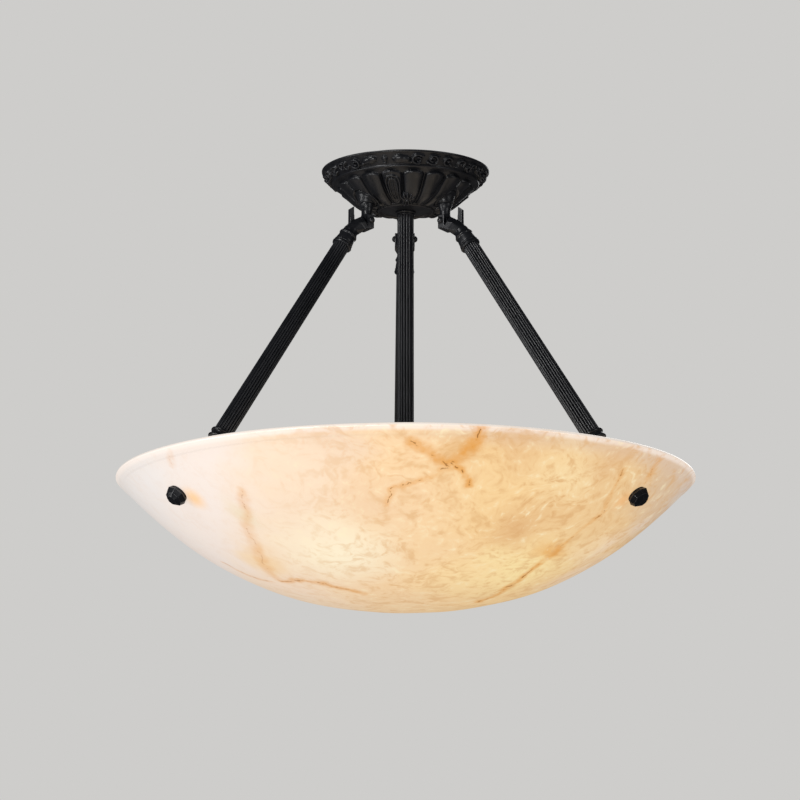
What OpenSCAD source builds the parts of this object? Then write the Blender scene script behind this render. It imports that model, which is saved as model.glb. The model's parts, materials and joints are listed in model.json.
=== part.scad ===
// Ceiling light: an alabaster bowl held by three fluted rods under an ornate
// canopy, with a fluted centre stem that carries three lamps inside the bowl.
// Origin: centre of the canopy's rim on the ceiling. +Z points up, -Y is the front.

/* [Bowl] */
// Outside diameter of the bowl's rim
bowl_d = 600; // [560:2:640]
// Height from the bowl's rim to its lowest point, outside
bowl_depth = 131.5; // [120:0.5:142]
// Thickness of the stone wall
bowl_wall = 10; // [8:0.5:12]
// Power of the bowl's curve: 2 is a parabola, more is flatter at the bottom
bowl_curve = 2.44; // [2.2:0.02:2.7]
// Drop from the ceiling to the bowl's rim
rim_drop = 332.6; // [320:0.2:345]
// Radius of the rim's rounded edge
rim_round = 3.5; // [2.5:0.5:4.5]
// Radius of each hole that a stud passes through
wall_hole_r = 6.5; // [6:0.25:8]

/* [Canopy] */
// Diameter of the canopy's rim on the ceiling
canopy_d = 177; // [168:1:190]
// Height of the canopy
canopy_h = 44; // [42:0.5:48]
// Radius of the bell's foot, where the lugs come out
canopy_foot_r = 50; // [48.5:0.5:53]
// Wall of the cast canopy
canopy_wall = 2.5; // [2:0.25:3]
// Number of rounded lobes round the bell
lobe_count = 18; // [12:3:18]
// Turn of the lobes about the axis, which puts a groove just left of the front
lobe_turn = 6.4; // [-10:0.2:10]
// Radius of each lobe's round head
lobe_head_r = 10; // [9:0.25:10.5]
// Radius of each lobe's lower end
lobe_tail_r = 6.5; // [5.5:0.25:7]
// Radius of the plain bead between the relief band and the bell
bead_r = 1.6; // [1.2:0.1:2]
// Number of raised eggs in the rim's relief band
egg_count = 30; // [24:1:32]
// Radius of each egg's ball
egg_r = 5.2; // [4.6:0.1:5.6]

/* [Ceiling strap] */
// Length of the strap
strap_len = 142; // [130:2:150]
// Width of the strap
strap_w = 22; // [18:1:26]
// Thickness of the strap and its lowest hardware's seat
strap_t = 2.5; // [2:0.5:3]
// Distance between the two ceiling screw slots
slot_pitch = 100; // [90:2:108]
// Length of each screw slot, end to end
slot_len = 14; // [10:1:18]
// Width of each screw slot
slot_w = 5; // [4:0.5:6]
// Length of the terminal block
block_len = 24; // [20:1:26]
// Height of the terminal block
block_h = 14; // [12:0.5:15]

/* [Centre pipe and stem] */
// Outside radius of the threaded centre pipe
pipe_r = 5; // [4.5:0.25:5.5]
// Bore radius of the centre pipe
pipe_bore_r = 3.75; // [3.25:0.25:4]
// Largest radius of the fluted stem
stem_r = 8.5; // [8:0.25:9.5]
// Number of flutes on the stem
stem_flutes = 16; // [12:1:18]
// Drop from the ceiling to the lower end of the stem
stem_drop = 325; // [316:1:334]
// Height of the ring that holds the canopy up
ring_h = 4; // [3:0.5:6]
// Radius of that ring
ring_r = 10.8; // [10.4:0.2:13]
// Height of each thin nut on the centre pipe
nut_h = 4; // [3.5:0.5:4]
// Radius of the nuts on the centre pipe, over their corners
nut_r = 8.5; // [8:0.5:9.5]

/* [Hanger] */
// Drop from the ceiling to the top of the three-armed hanger
hanger_drop = 24; // [23:0.5:25]
// Thickness of the hanger
hanger_t = 5; // [4:0.5:5.5]
// Radius of the hanger's hub
hub_r = 17; // [15:0.5:20]
// Width of each hanger arm
hanger_arm_w = 13; // [11:0.5:14]
// Distance from the axis to each rod's pivot
pivot_r = 47.5; // [46.5:0.25:48.5]
// Drop from the ceiling to each rod's pivot
pivot_drop = 61; // [59:0.5:64]
// Width of each lug, across its eye
lug_w = 12; // [10:0.5:13]
// Radius of the lug's eye
eye_r = 6; // [5:0.25:6.5]
// Radius of the lug's threaded shank
shank_r = 3; // [2.5:0.25:3.5]
// Radius of each pivot pin
pin_r = 2.5; // [2:0.25:3]
// Thickness of each fork prong at its eye
prong_t = 5; // [4:0.25:5.5]
// Thickness of each fork prong at its root
prong_root_t = 3; // [2.5:0.25:4]

/* [Rods] */
// Distance that each rod's line passes outside its pivot
rod_offset = 9.4; // [8.4:0.2:10.4]
// Radius of the rod at its upper end
rod_top_r = 8.75; // [8.25:0.25:9.5]
// Radius of the rod at its lower end
rod_low_r = 10; // [9.5:0.25:10.75]
// Number of flutes on each rod
rod_flutes = 20; // [16:1:22]
// Depth of the flutes
flute_depth = 1.1; // [0.8:0.1:1.4]
// Radius of the spigots that enter the rod's ends
spigot_r = 4.5; // [4:0.25:5]
// Length of those spigots
spigot_len = 15; // [10:1:20]
// Distance from the pivot to the rod's upper end
fork_len = 46; // [44:1:50]
// Distance from the pivot to the crotch between the fork's prongs
fork_crotch = 19; // [18.5:0.25:20]
// Height of the fork's upright thumb, on its taller side
thumb_h = 25; // [20:0.5:26]
// Fall of the thumb's slanting top
thumb_slant = 3.5; // [2:0.25:5]
// Width of the thumb along the lug's pin
thumb_w = 4.6; // [4:0.2:6]
// Depth of the thumb, square to that
thumb_t = 4.4; // [3.6:0.2:5]
// Length of the foot's neck, from its bend to the lower collar
foot_neck = 38; // [34:1:42]
// Height of the lower collar
collar_h = 12; // [9:0.5:14]
// Radius of the lower collar
collar_r = 13; // [12:0.25:14]

/* [Wall fixing] */
// Distance of each stud hole in from the rim, measured level
stud_inset = 36.5; // [33:0.5:42]
// Radius of the stud
stud_r = 4; // [3.5:0.25:4.5]
// Height of the foot's bend above its pad
foot_bend = 23.3; // [20:0.5:27]
// Radius of the foot's base
foot_r = 13; // [12.5:0.25:14]
// Thickness of the foot's base
foot_t = 6; // [4:0.5:8]
// Thickness of the rubber pad under the foot
pad_t = 2; // [1.5:0.25:3]
// Radius of the knob, over its corners
knob_r = 11.8; // [11:0.2:13]
// Height of the knob
knob_h = 10; // [9:0.5:12]
// Thickness of the washer behind the knob
washer_t = 1.5; // [1:0.25:2]

/* [Lamps] */
// Drop from the ceiling to the lamps' level axes
lamp_drop = 350; // [342:1:354]
// Turn of the three lamps away from the rods
lamp_turn = 15; // [10:1:25]
// Radius of the lamp cluster's body
cluster_r = 22; // [21:0.5:24]
// Height of the cluster's body
cluster_h = 38; // [36:1:42]
// Wall of the cluster's body
cluster_wall = 2.5; // [2:0.25:3]
// Height of the collar on top of the cluster
cluster_collar_h = 6; // [5:0.5:8]
// Outside radius of each lampholder
holder_r = 19.5; // [18.5:0.25:21]
// Length of each lampholder
holder_len = 39; // [37:0.5:40]
// Radius of the lamp's screw cap
cap_r = 13.2; // [12.9:0.05:13.3]
// Length of the lamp's screw cap
cap_len = 26; // [25:0.5:28]
// Radius of the lamp's globe
globe_r = 30; // [27.5:0.5:31]
// Length of the lamp, from the tip of its cap
lamp_len = 104; // [98:1:108]
// Radius of the wires in the centre pipe
wire_r = 2.2; // [1.8:0.1:2.6]

/* [Hidden] */

$fn = 48;
black = [0.09, 0.09, 0.1];
steel = [0.72, 0.72, 0.7];
alabaster = [0.97, 0.92, 0.82];
ceramic = [0.93, 0.92, 0.88];

// Clearances
thread_gap = 0.05;   // a threaded part in its hole
pivot_gap = 0.05;    // the pin in the lug's eye, radially
slip_gap = 0.1;      // a spigot in a tube, radially
side_gap = 0.4;      // the lug between the fork's prongs, each side
curve_gap = 0.3;     // a flat piece on the bowl's curved wall
knob_bore_gap = 1;   // room for the stud to tilt as it leaves the knob
knob_seat_gap = 0.1; // the knob on its washer
cap_gap = 0.25;      // the lamp's cap in its threaded sleeve, radially

// The three rods stand at 120 degrees: 1 is front left, 2 front right, 3 rear
rod_angles = [210, 330, 90];

// Bowl
bowl_r = bowl_d / 2;
bowl_steps = 30;
function bowl_z(r) = -rim_drop - bowl_depth * (1 - pow(r / bowl_r, bowl_curve));
function bowl_slope(r) =
    atan(bowl_depth * bowl_curve / bowl_r * pow(r / bowl_r, bowl_curve - 1));
function inner_wall(r) =
    [max(r - bowl_wall * sin(bowl_slope(r)), 0), bowl_z(r) + bowl_wall * cos(bowl_slope(r))];

// Wall fixing: the stud's point on the outer wall, and the slope there
stud_x = bowl_r - stud_inset;
stud_z = bowl_z(stud_x);
wall_slope = bowl_slope(stud_x);
pad_face = bowl_wall + curve_gap;                // from the outer wall to the pad
foot_face = pad_face + pad_t;                    // from the outer wall to the foot's base
bend_out = foot_face + foot_bend;                // from the outer wall to the foot's bend
stud_in = foot_face + foot_t + 6;                // stud's depth inside the outer wall
washer_face = curve_gap;
washer_low = washer_face + washer_t;
knob_face = washer_low + knob_seat_gap;
knob_bore = knob_h - 2;
stud_out = knob_face + knob_bore - 1;

// Rod: its line passes rod_offset outside the pivot and through the foot's bend
bend_x = stud_x - bend_out * sin(wall_slope);
bend_z = stud_z + bend_out * cos(wall_slope);
bend_dx = bend_x - pivot_r;
bend_dz = -pivot_drop - bend_z;
rod_tilt = atan2(bend_dx, bend_dz) - asin(rod_offset / norm([bend_dx, bend_dz]));
bend_s = bend_dx * sin(rod_tilt) + bend_dz * cos(rod_tilt);  // pivot to bend, along the rod
collar_s = bend_s - foot_neck - collar_h;        // pivot to the rod's lower end
rod_len = collar_s - fork_len;

// Canopy: outline from the rim to the bottom, as shares of the rim's overhang, the
// foot's radius and the height
canopy_r = canopy_d / 2;
canopy_rim = [[1, 0], [1, 0.035], [0.935, 0.114], [0.727, 0.273], [0.571, 0.341],
              [0.442, 0.42], [0.338, 0.568], [0.182, 0.705], [0, 0.852]];
canopy_dish = [[0.76, 0.955], [0.24, 1]];
canopy_outline = concat(
    [for (p = canopy_rim) [canopy_foot_r + p[0] * (canopy_r - canopy_foot_r), -p[1] * canopy_h]],
    [for (p = canopy_dish) [p[0] * canopy_foot_r, -p[1] * canopy_h]],
    [[0, -canopy_h]]);
canopy_last = len(canopy_outline) - 1;
// Unit normal of the outline at point i, pointing into the canopy
function inward(path, i, last) =
    let (a = path[max(i - 1, 0)], b = path[min(i + 1, last)], d = b - a)
    [d[1], -d[0]] / norm(d);
canopy_inner = [for (i = [0:canopy_last])
    let (p = canopy_outline[i] + canopy_wall * inward(canopy_outline, i, canopy_last))
    [i == canopy_last ? 0 : p[0], i < 1 ? 0 : p[1]]];
boss_r = 7;
lug_seat = canopy_h - 3;      // drop to the canopy's seat for a lug
flange_t = 2.5;
flange_r = 7.6;
lug_nut_h = 5;
lug_nut_r = 5.6;
prong_in = lug_w / 2 + side_gap;
prong_out = prong_in + prong_t;
pin_len = 2 * prong_out + 4;

// Stack on the centre pipe
pipe_top = 0.5;
wire_exit_drop = strap_t + 8.5;
hanger_low = hanger_drop + hanger_t;
ring_low = canopy_h + ring_h;
cluster_top = stem_drop + cluster_collar_h;
cluster_low = cluster_top + cluster_h;
cover_t = 3;
cap_nut_h = 12;
pipe_low = cluster_low + cover_t + 6;
block_w = 20;
block_x = 16;                 // from the axis to the block's near end
block_screw_r = 2;
earth_x = 30;

// Lampholders: distances along each lamp's axis from the stem's axis
holder_x = cluster_r + 1;
holder_base = 3;
insert_x = holder_x + holder_base + 2;
insert_disc = 6;
holder_mouth = holder_x + holder_len;
insert_r = cap_r + cap_gap + 1;
cap_tip = holder_mouth - cap_len;
cap_pin = 4;                  // length of the cap's centre contact
globe_x = cap_tip + lamp_len - globe_r;
globe_wall = 1.2;
globe_neck_r = 14;
nipple_bore_r = 3.3;
// The last length where the neck's cone meets the globe
neck_end = globe_x - globe_r * 0.35;
neck_end_r = globe_r * 0.93;

// Places children at rod i, whose outward direction is +X
module at_rod(i) {
    rotate([0, 0, rod_angles[i - 1]]) children();
}

// Rod frame: origin on the pivot, -Z down along the rod, +X square out from it
module along_rod() {
    translate([pivot_r, 0, -pivot_drop]) rotate([0, -rod_tilt, 0]) children();
}

// Wall frame: origin on the outer wall at a stud hole, +Z square out of the wall
module at_wall() {
    translate([stud_x, 0, stud_z]) rotate([0, 180 - wall_slope, 0]) children();
}

// Lamp frame: origin on the stem's axis, +Z out along lamp i
module at_lamp(i) {
    rotate([0, 0, rod_angles[i - 1] + lamp_turn]) translate([0, 0, -lamp_drop])
        rotate([0, 90, 0]) children();
}

// Disc from drop a down to drop b
module disc(r, a, b) {
    translate([0, 0, -b]) cylinder(r = r, h = b - a);
}

// Clears a hole of radius r through everything between drops a and b
module hole(r, a, b) {
    disc(r, a - 1, b + 1);
}

// Outline of a fluted tube with n round grooves
module flute_outline(r, n) {
    steps = 6;
    polygon([for (k = [0:n * steps - 1])
        let (a = k * 360 / (n * steps), dip = pow(abs(sin(a * n / 2)), 0.7))
        (r - flute_depth * (1 - dip)) * [cos(a), sin(a)]]);
}

module hex_nut(r, a, b, bore) {
    difference() {
        translate([0, 0, -b]) cylinder(r = r, h = b - a, $fn = 6);
        hole(bore, a, b);
    }
}

module ceiling_strap() {
    color(steel) difference() {
        translate([-strap_len / 2, -strap_w / 2, -strap_t]) cube([strap_len, strap_w, strap_t]);
        hole(pipe_r + thread_gap, 0, strap_t);
        translate([earth_x, 0, 0]) hole(block_screw_r + thread_gap, 0, strap_t);
        for (side = [-1, 1]) translate([side * slot_pitch / 2, 0, 0]) {
            for (end = [-1, 1]) translate([end * (slot_len - slot_w) / 2, 0, 0])
                hole(slot_w / 2, 0, strap_t);
            translate([(slot_w - slot_len) / 2, -slot_w / 2, -strap_t - 1])
                cube([slot_len - slot_w, slot_w, strap_t + 2]);
        }
    }
}

module strap_nut() {
    color(steel) hex_nut(nut_r, strap_t, strap_t + nut_h, pipe_r + thread_gap);
}

module hanger() {
    color(steel) difference() {
        union() {
            disc(hub_r, hanger_drop, hanger_low);
            for (i = [1:3]) at_rod(i) {
                translate([0, -hanger_arm_w / 2, -hanger_low]) cube([pivot_r, hanger_arm_w, hanger_t]);
                translate([pivot_r, 0, 0]) disc(hanger_arm_w / 2, hanger_drop, hanger_low);
            }
        }
        hole(pipe_r + thread_gap, hanger_drop, hanger_low);
        for (i = [1:3]) at_rod(i) translate([pivot_r, 0, 0])
            hole(shank_r + slip_gap, hanger_drop, hanger_low);
    }
}

module hanger_nut() {
    color(steel) hex_nut(nut_r, hanger_low, hanger_low + nut_h, pipe_r + thread_gap);
}

module lug_nuts() {
    color(steel) for (i = [1:3]) at_rod(i) translate([pivot_r, 0, 0])
        hex_nut(lug_nut_r, hanger_drop - lug_nut_h, hanger_drop, shank_r + thread_gap);
}

// One rounded lobe of the bell: a ball at its head and a cone down to the foot
module canopy_lobe() {
    top = canopy_outline[5];
    low = canopy_outline[8];
    out = -inward([top, low], 0, 1);
    a = top - out * (lobe_head_r - 2);
    b = low - out * (lobe_tail_r - 1);
    along = b - a;
    translate([a[0], 0, a[1]]) {
        sphere(r = lobe_head_r + curve_gap);
        rotate([0, atan2(along[0], along[1]), 0])
            cylinder(r1 = lobe_head_r, r2 = lobe_tail_r, h = norm(along));
    }
}

module canopy() {
    egg = (canopy_outline[2] + canopy_outline[3]) / 2;
    color(black) difference() {
        union() {
            difference() {
                union() {
                    rotate_extrude($fn = 96) polygon(concat([[0, 0]], canopy_outline));
                    for (k = [0:lobe_count - 1])
                        rotate([0, 0, lobe_turn + (k + 0.5) * 360 / lobe_count]) canopy_lobe();
                    for (k = [0:egg_count - 1]) rotate([0, 0, k * 360 / egg_count])
                        translate([egg[0] - egg_r / 2, 0, egg[1] + egg_r / 2]) sphere(r = egg_r);
                    translate([0, 0, canopy_outline[4][1]]) rotate_extrude($fn = 96)
                        translate([canopy_outline[4][0], 0]) circle(r = bead_r);
                }
                rotate_extrude($fn = 96) polygon(concat([[0, 0.01]], [[canopy_inner[0][0], 0.01]],
                    [for (i = [1:canopy_last]) canopy_inner[i]]));
            }
            for (i = [1:3]) at_rod(i) translate([pivot_r, 0, 0]) disc(boss_r, hanger_low, lug_seat);
        }
        hole(pipe_r + curve_gap, 0, canopy_h);
        for (i = [1:3]) at_rod(i) translate([pivot_r, 0, 0])
            hole(shank_r + slip_gap, hanger_low, lug_seat);
    }
}

module lug(i) {
    low = pivot_drop;
    color(black) at_rod(i) translate([pivot_r, 0, 0]) difference() {
        union() {
            disc(shank_r, hanger_drop - lug_nut_h - 1.5, lug_seat + 1);
            disc(flange_r, lug_seat, lug_seat + flange_t);
            translate([-eye_r * 0.75, -lug_w / 2, -low]) cube([eye_r * 1.5, lug_w, low - lug_seat - 1]);
            translate([0, lug_w / 2, -low]) rotate([90, 0, 0]) cylinder(r = eye_r, h = lug_w);
        }
        translate([0, lug_w, -low]) rotate([90, 0, 0])
            cylinder(r = pin_r + pivot_gap, h = 2 * lug_w);
    }
}

module pivot_pin(i) {
    color(black) at_rod(i) translate([pivot_r, 0, -pivot_drop]) rotate([90, 0, 0]) {
        translate([0, 0, -pin_len / 2]) cylinder(r = pin_r, h = pin_len);
        translate([0, 0, prong_out + 0.1]) cylinder(r = pin_r + 1.6, h = 2.2);
        translate([0, 0, -prong_out - 2.6]) intersection() {
            sphere(r = pin_r + 1.7);
            translate([0, 0, -3]) cylinder(r = 2 * pin_r, h = 5.5);
        }
    }
}

// One prong of the fork: its eye, and the root that it runs down to
module prong(side) {
    mid = side * (prong_in + prong_t / 2);
    hull() {
        translate([0, mid, 0]) rotate([90, 0, 0])
            cylinder(r = eye_r + 0.4, h = prong_t, center = true, $fn = 32);
        translate([rod_offset - 5.5, side > 0 ? prong_in : -prong_in - prong_root_t, -fork_crotch - 8])
            cube([11, prong_root_t, 4]);
    }
}

module rod_fork(i) {
    color(black) at_rod(i) along_rod() difference() {
        union() {
            prong(-1);
            prong(1);
            hull() {
                translate([rod_offset, 0, -fork_len + 10]) cylinder(r = rod_top_r + 0.4, h = 3, $fn = 32);
                translate([rod_offset - 6, -8, -fork_crotch - 3]) cube([13, 16, 3]);
            }
            // The thumb stands upright beside the lug
            translate([rod_offset - 1.4, 0, -fork_crotch - 1]) rotate([0, rod_tilt, 0])
                translate([0, thumb_w / 2, 0]) rotate([90, 0, 0]) linear_extrude(thumb_w)
                    polygon([[-thumb_t / 2, 0], [thumb_t / 2, 0],
                             [thumb_t / 2, thumb_h - thumb_slant], [-thumb_t / 2, thumb_h]]);
            translate([rod_offset, 0, 0]) {
                disc(rod_top_r + 1.2, fork_len - 12.5, fork_len - 10);
                disc(rod_top_r, fork_len - 11, fork_len - 2);
                translate([0, 0, -fork_len + 2.4]) rotate_extrude() translate([rod_top_r, 0]) circle(r = 1.6);
                disc(rod_top_r + 1.6, fork_len - 2.4, fork_len);
                disc(spigot_r, fork_len - 1, fork_len + spigot_len);
            }
        }
        translate([0, prong_out + 1, 0]) rotate([90, 0, 0])
            cylinder(r = pin_r + thread_gap, h = 2 * prong_out + 2);
    }
}

module rod(i) {
    color(black) at_rod(i) along_rod() translate([rod_offset, 0, -collar_s]) difference() {
        linear_extrude(height = rod_len, scale = rod_top_r / rod_low_r)
            flute_outline(rod_low_r, rod_flutes);
        translate([0, 0, -1]) cylinder(r = spigot_r + slip_gap, h = rod_len + 2);
    }
}

module rod_foot(i) {
    neck_r = 8.5;
    color(black) at_rod(i) difference() {
        union() {
            along_rod() translate([rod_offset, 0, 0]) {
                disc(spigot_r, collar_s - spigot_len, collar_s + 1);
                disc(collar_r, collar_s, collar_s + 3);
                disc(collar_r - 2, collar_s + 2, collar_s + collar_h - 2);
                disc(collar_r - 0.6, collar_s + collar_h - 4, collar_s + collar_h);
                disc(neck_r, collar_s + collar_h - 1, bend_s);
                translate([0, 0, -bend_s]) sphere(r = neck_r + 1);
            }
            at_wall() {
                disc(neck_r, foot_face + 1, bend_out);
                disc(foot_r, foot_face, foot_face + foot_t);
            }
        }
        at_wall() hole(stud_r + thread_gap, foot_face, stud_in - 0.5);
    }
}

module foot_pad(i) {
    color([0.12, 0.12, 0.12]) at_rod(i) at_wall() difference() {
        disc(foot_r - 1, pad_face, foot_face);
        hole(stud_r + slip_gap, pad_face, foot_face);
    }
}

module wall_stud(i) {
    color(steel) at_rod(i) at_wall() disc(stud_r, -stud_out, stud_in);
}

module outer_washer(i) {
    color(black) at_rod(i) at_wall() difference() {
        disc(knob_r - 1.6, -washer_low, -washer_face);
        hole(stud_r + knob_bore_gap, -washer_low, -washer_face);
    }
}

module knob(i) {
    color(black) at_rod(i) at_wall() translate([0, 0, knob_face]) difference() {
        union() {
            cylinder(r1 = knob_r - 1, r2 = knob_r, h = 2, $fn = 8);
            translate([0, 0, 2]) cylinder(r1 = knob_r, r2 = knob_r - 2.2, h = knob_h - 5, $fn = 8);
            translate([0, 0, knob_h - 3]) cylinder(r1 = knob_r - 2.2, r2 = knob_r - 6.5, h = 3, $fn = 8);
        }
        translate([0, 0, -1]) cylinder(r = stud_r + knob_bore_gap, h = knob_bore + 1);
    }
}

module canopy_ring() {
    color(black) difference() {
        union() {
            disc(ring_r, canopy_h, canopy_h + ring_h - 1);
            disc(ring_r - 1, canopy_h + ring_h - 1.5, ring_low);
        }
        hole(pipe_r + thread_gap, canopy_h, ring_low);
    }
}

module centre_pipe() {
    color(steel) difference() {
        disc(pipe_r, pipe_top, pipe_low);
        hole(pipe_bore_r, pipe_top, pipe_low);
        translate([-2 * pipe_r, 0, -wire_exit_drop]) rotate([0, 90, 0])
            cylinder(r = wire_r + 0.8, h = 2 * pipe_r);
        for (i = [1:3]) at_lamp(i) cylinder(r = wire_r + 0.8, h = 2 * pipe_r);
    }
}

module stem() {
    color(black) translate([0, 0, -stem_drop]) difference() {
        linear_extrude(stem_drop - ring_low) flute_outline(stem_r, stem_flutes);
        translate([0, 0, -1]) cylinder(r = pipe_r + slip_gap * 4, h = stem_drop);
    }
}

module cluster_collar() {
    color(black) difference() {
        union() {
            disc(stem_r + 2.5, stem_drop, cluster_top - 2);
            disc(stem_r + 5, cluster_top - 2.5, cluster_top);
        }
        hole(pipe_r + thread_gap, stem_drop, cluster_top);
    }
}

module cluster_body() {
    color(black) difference() {
        disc(cluster_r, cluster_top, cluster_low);
        disc(cluster_r - cluster_wall, cluster_top + cluster_wall, cluster_low + 1);
        hole(pipe_r + thread_gap, cluster_top, cluster_low);
        for (i = [1:3]) at_lamp(i) cylinder(r = pipe_r + thread_gap, h = 2 * cluster_r);
    }
}

module cluster_cover() {
    color(black) difference() {
        union() {
            disc(cluster_r - cluster_wall - slip_gap, cluster_low - 2, cluster_low + 1);
            disc(cluster_r, cluster_low, cluster_low + cover_t);
        }
        hole(pipe_r + thread_gap, cluster_low - 2, cluster_low + cover_t);
    }
}

module cluster_cap_nut() {
    top = cluster_low + cover_t;
    color(black) difference() {
        union() {
            disc(9, top, top + 4);
            disc(6.5, top, top + cap_nut_h - 5);
            translate([0, 0, -top - cap_nut_h + 6]) sphere(r = 6.5);
        }
        hole(pipe_r + thread_gap, top, pipe_low);
    }
}

module holder_nipples() {
    color(steel) for (i = [1:3]) at_lamp(i) translate([0, 0, cluster_r - cluster_wall - 1.5]) difference() {
        cylinder(r = pipe_r, h = holder_x + holder_base + 1 - cluster_r + cluster_wall + 1.5);
        translate([0, 0, -1]) cylinder(r = nipple_bore_r, h = holder_len);
    }
}

module lampholder(i) {
    color(black) at_lamp(i) translate([0, 0, holder_x]) difference() {
        union() {
            cylinder(r = holder_r, h = holder_len);
            translate([0, 0, holder_len - 5]) cylinder(r = holder_r + 1, h = 5);
        }
        translate([0, 0, holder_base]) cylinder(r = insert_r + slip_gap, h = holder_len);
        translate([0, 0, -1]) cylinder(r = pipe_r + thread_gap, h = holder_len);
    }
}

module holder_insert(i) {
    color(ceramic) at_lamp(i) difference() {
        translate([0, 0, insert_x]) cylinder(r = insert_r, h = holder_mouth - insert_x - 2);
        translate([0, 0, insert_x + insert_disc]) cylinder(r = cap_r + cap_gap, h = holder_len);
    }
}

module lamp_cap(i) {
    color(steel) at_lamp(i) {
        translate([0, 0, cap_tip]) cylinder(r = 5, h = cap_pin + 1);
        translate([0, 0, cap_tip + cap_pin - 2]) cylinder(r1 = 6, r2 = cap_r, h = 3);
        translate([0, 0, cap_tip + cap_pin + 1]) cylinder(r = cap_r, h = cap_len - cap_pin - 1);
    }
}

// The globe's solid form, drawn in by inset all round
module globe_form(inset) {
    translate([0, 0, globe_x]) sphere(r = globe_r - inset, $fn = 64);
    translate([0, 0, holder_mouth]) cylinder(
        r1 = globe_neck_r - inset, r2 = neck_end_r - inset, h = neck_end - holder_mouth);
}

module lamp_globe(i) {
    color(ceramic) at_lamp(i) difference() {
        globe_form(0);
        globe_form(globe_wall);
    }
}

module lamp_wires() {
    color("white") {
        disc(wire_r, wire_exit_drop, lamp_drop);
        translate([0, 0, -wire_exit_drop]) sphere(r = wire_r);
        translate([-block_x, 0, -wire_exit_drop]) rotate([0, 90, 0]) cylinder(r = wire_r, h = block_x);
        for (i = [1:3]) at_lamp(i) cylinder(r = wire_r, h = insert_x);
    }
}

module terminal_block() {
    color(ceramic) translate([-block_x - block_len, 0, 0]) difference() {
        translate([0, -block_w / 2, -strap_t - block_h]) cube([block_len, block_w, block_h]);
        for (k = [-1:1]) translate([0, k * block_w / 3.2, -wire_exit_drop]) rotate([0, 90, 0])
            translate([0, 0, -1]) cylinder(r = 1.8, h = block_len / 3);
        for (k = [-1:1]) translate([block_len / 2, k * block_w / 3.2, 0])
            disc(block_screw_r + thread_gap, strap_t + block_h - 6, strap_t + block_h + 1);
    }
}

module terminal_screws() {
    low = strap_t + block_h;
    color(steel) for (k = [-1:1]) translate([-block_x - block_len / 2, k * block_w / 3.2, 0])
        difference() {
            disc(block_screw_r, low - 6, low - 1);
            translate([-block_screw_r - 1, -0.3, -low]) cube([2 * block_screw_r + 2, 0.6, 1.8]);
        }
}

module earth_screw() {
    color(steel) translate([earth_x, 0, 0]) difference() {
        union() {
            disc(block_screw_r, 0.5, strap_t + 1);
            disc(block_screw_r + 2, strap_t, strap_t + 2.4);
        }
        translate([-5, -0.4, -strap_t - 3]) cube([10, 0.8, 1.6]);
    }
}

module bowl() {
    outer = [for (k = [0:bowl_steps]) let (r = bowl_r * k / bowl_steps) [r, bowl_z(r)]];
    rim_top = -rim_drop + rim_round;
    rim = [for (a = [30:30:90])
        [bowl_r - rim_round * (1 - cos(a)), -rim_drop + rim_round * sin(a)]];
    inner = [for (k = [bowl_steps:-1:0]) let (p = inner_wall(bowl_r * k / bowl_steps))
        if (p[1] < rim_top - rim_round) p];
    // Where the straight run up from the last inner point meets the rim's top
    edge = inner[0] + (rim_top - inner[0][1]) * [1 / tan(wall_slope + 4), 1];
    color(alabaster) difference() {
        rotate_extrude($fn = 144) polygon(concat(outer, rim, [edge - [1, 0], edge - [1.8, 0.8]], inner));
        for (i = [1:3]) at_rod(i) at_wall() hole(wall_hole_r, 0, bowl_wall);
    }
}

ceiling_strap();
strap_nut();
hanger();
hanger_nut();
lug_nuts();
canopy();
canopy_ring();
centre_pipe();
stem();
cluster_collar();
cluster_body();
cluster_cover();
cluster_cap_nut();
holder_nipples();
lamp_wires();
terminal_block();
terminal_screws();
earth_screw();
bowl();
for (i = [1:3]) {
    lug(i);
    pivot_pin(i);
    rod_fork(i);
    rod(i);
    rod_foot(i);
    wall_stud(i);
    foot_pad(i);
    outer_washer(i);
    knob(i);
    lampholder(i);
    holder_insert(i);
    lamp_cap(i);
    lamp_globe(i);
}
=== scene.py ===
import json
import logging
import math
from dataclasses import dataclass, field
from enum import Enum
from typing import Any, Iterable, Sequence

import bmesh
import bpy
import numpy as np
from mathutils import Matrix, Vector


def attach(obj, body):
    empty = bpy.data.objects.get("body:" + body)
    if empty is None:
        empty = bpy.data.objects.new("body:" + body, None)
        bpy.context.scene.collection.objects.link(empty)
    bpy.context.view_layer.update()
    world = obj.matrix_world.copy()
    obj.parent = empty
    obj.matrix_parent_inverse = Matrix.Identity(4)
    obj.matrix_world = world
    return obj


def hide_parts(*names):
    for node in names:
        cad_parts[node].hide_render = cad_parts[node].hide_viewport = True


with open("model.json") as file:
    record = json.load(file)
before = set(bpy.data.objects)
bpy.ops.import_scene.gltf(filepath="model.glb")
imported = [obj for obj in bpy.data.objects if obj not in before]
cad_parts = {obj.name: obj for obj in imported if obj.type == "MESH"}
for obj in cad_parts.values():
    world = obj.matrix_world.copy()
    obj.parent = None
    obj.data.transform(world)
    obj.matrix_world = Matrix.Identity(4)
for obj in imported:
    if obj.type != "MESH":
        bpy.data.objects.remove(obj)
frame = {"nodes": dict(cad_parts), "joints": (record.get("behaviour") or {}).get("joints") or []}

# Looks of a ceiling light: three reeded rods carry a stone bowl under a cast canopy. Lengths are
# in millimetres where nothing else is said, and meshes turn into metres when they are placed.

LOG = logging.getLogger("bowl_light")
MM = 0.001
POLE_R = 0.15
FAR = 1000.0
THIRD = 120.0
ROD_NUMBERS = (1, 2, 3)
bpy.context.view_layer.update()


class Slot(Enum):
    """Material slots of the record."""

    BLACK = "satin_black"
    STONE = "alabaster"
    STEEL = "plated_steel"
    RUBBER = "rubber"
    NYLON = "white_nylon"
    CERAMIC = "lamp_ceramic"
    GLOBE = "frosted_globe"


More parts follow.
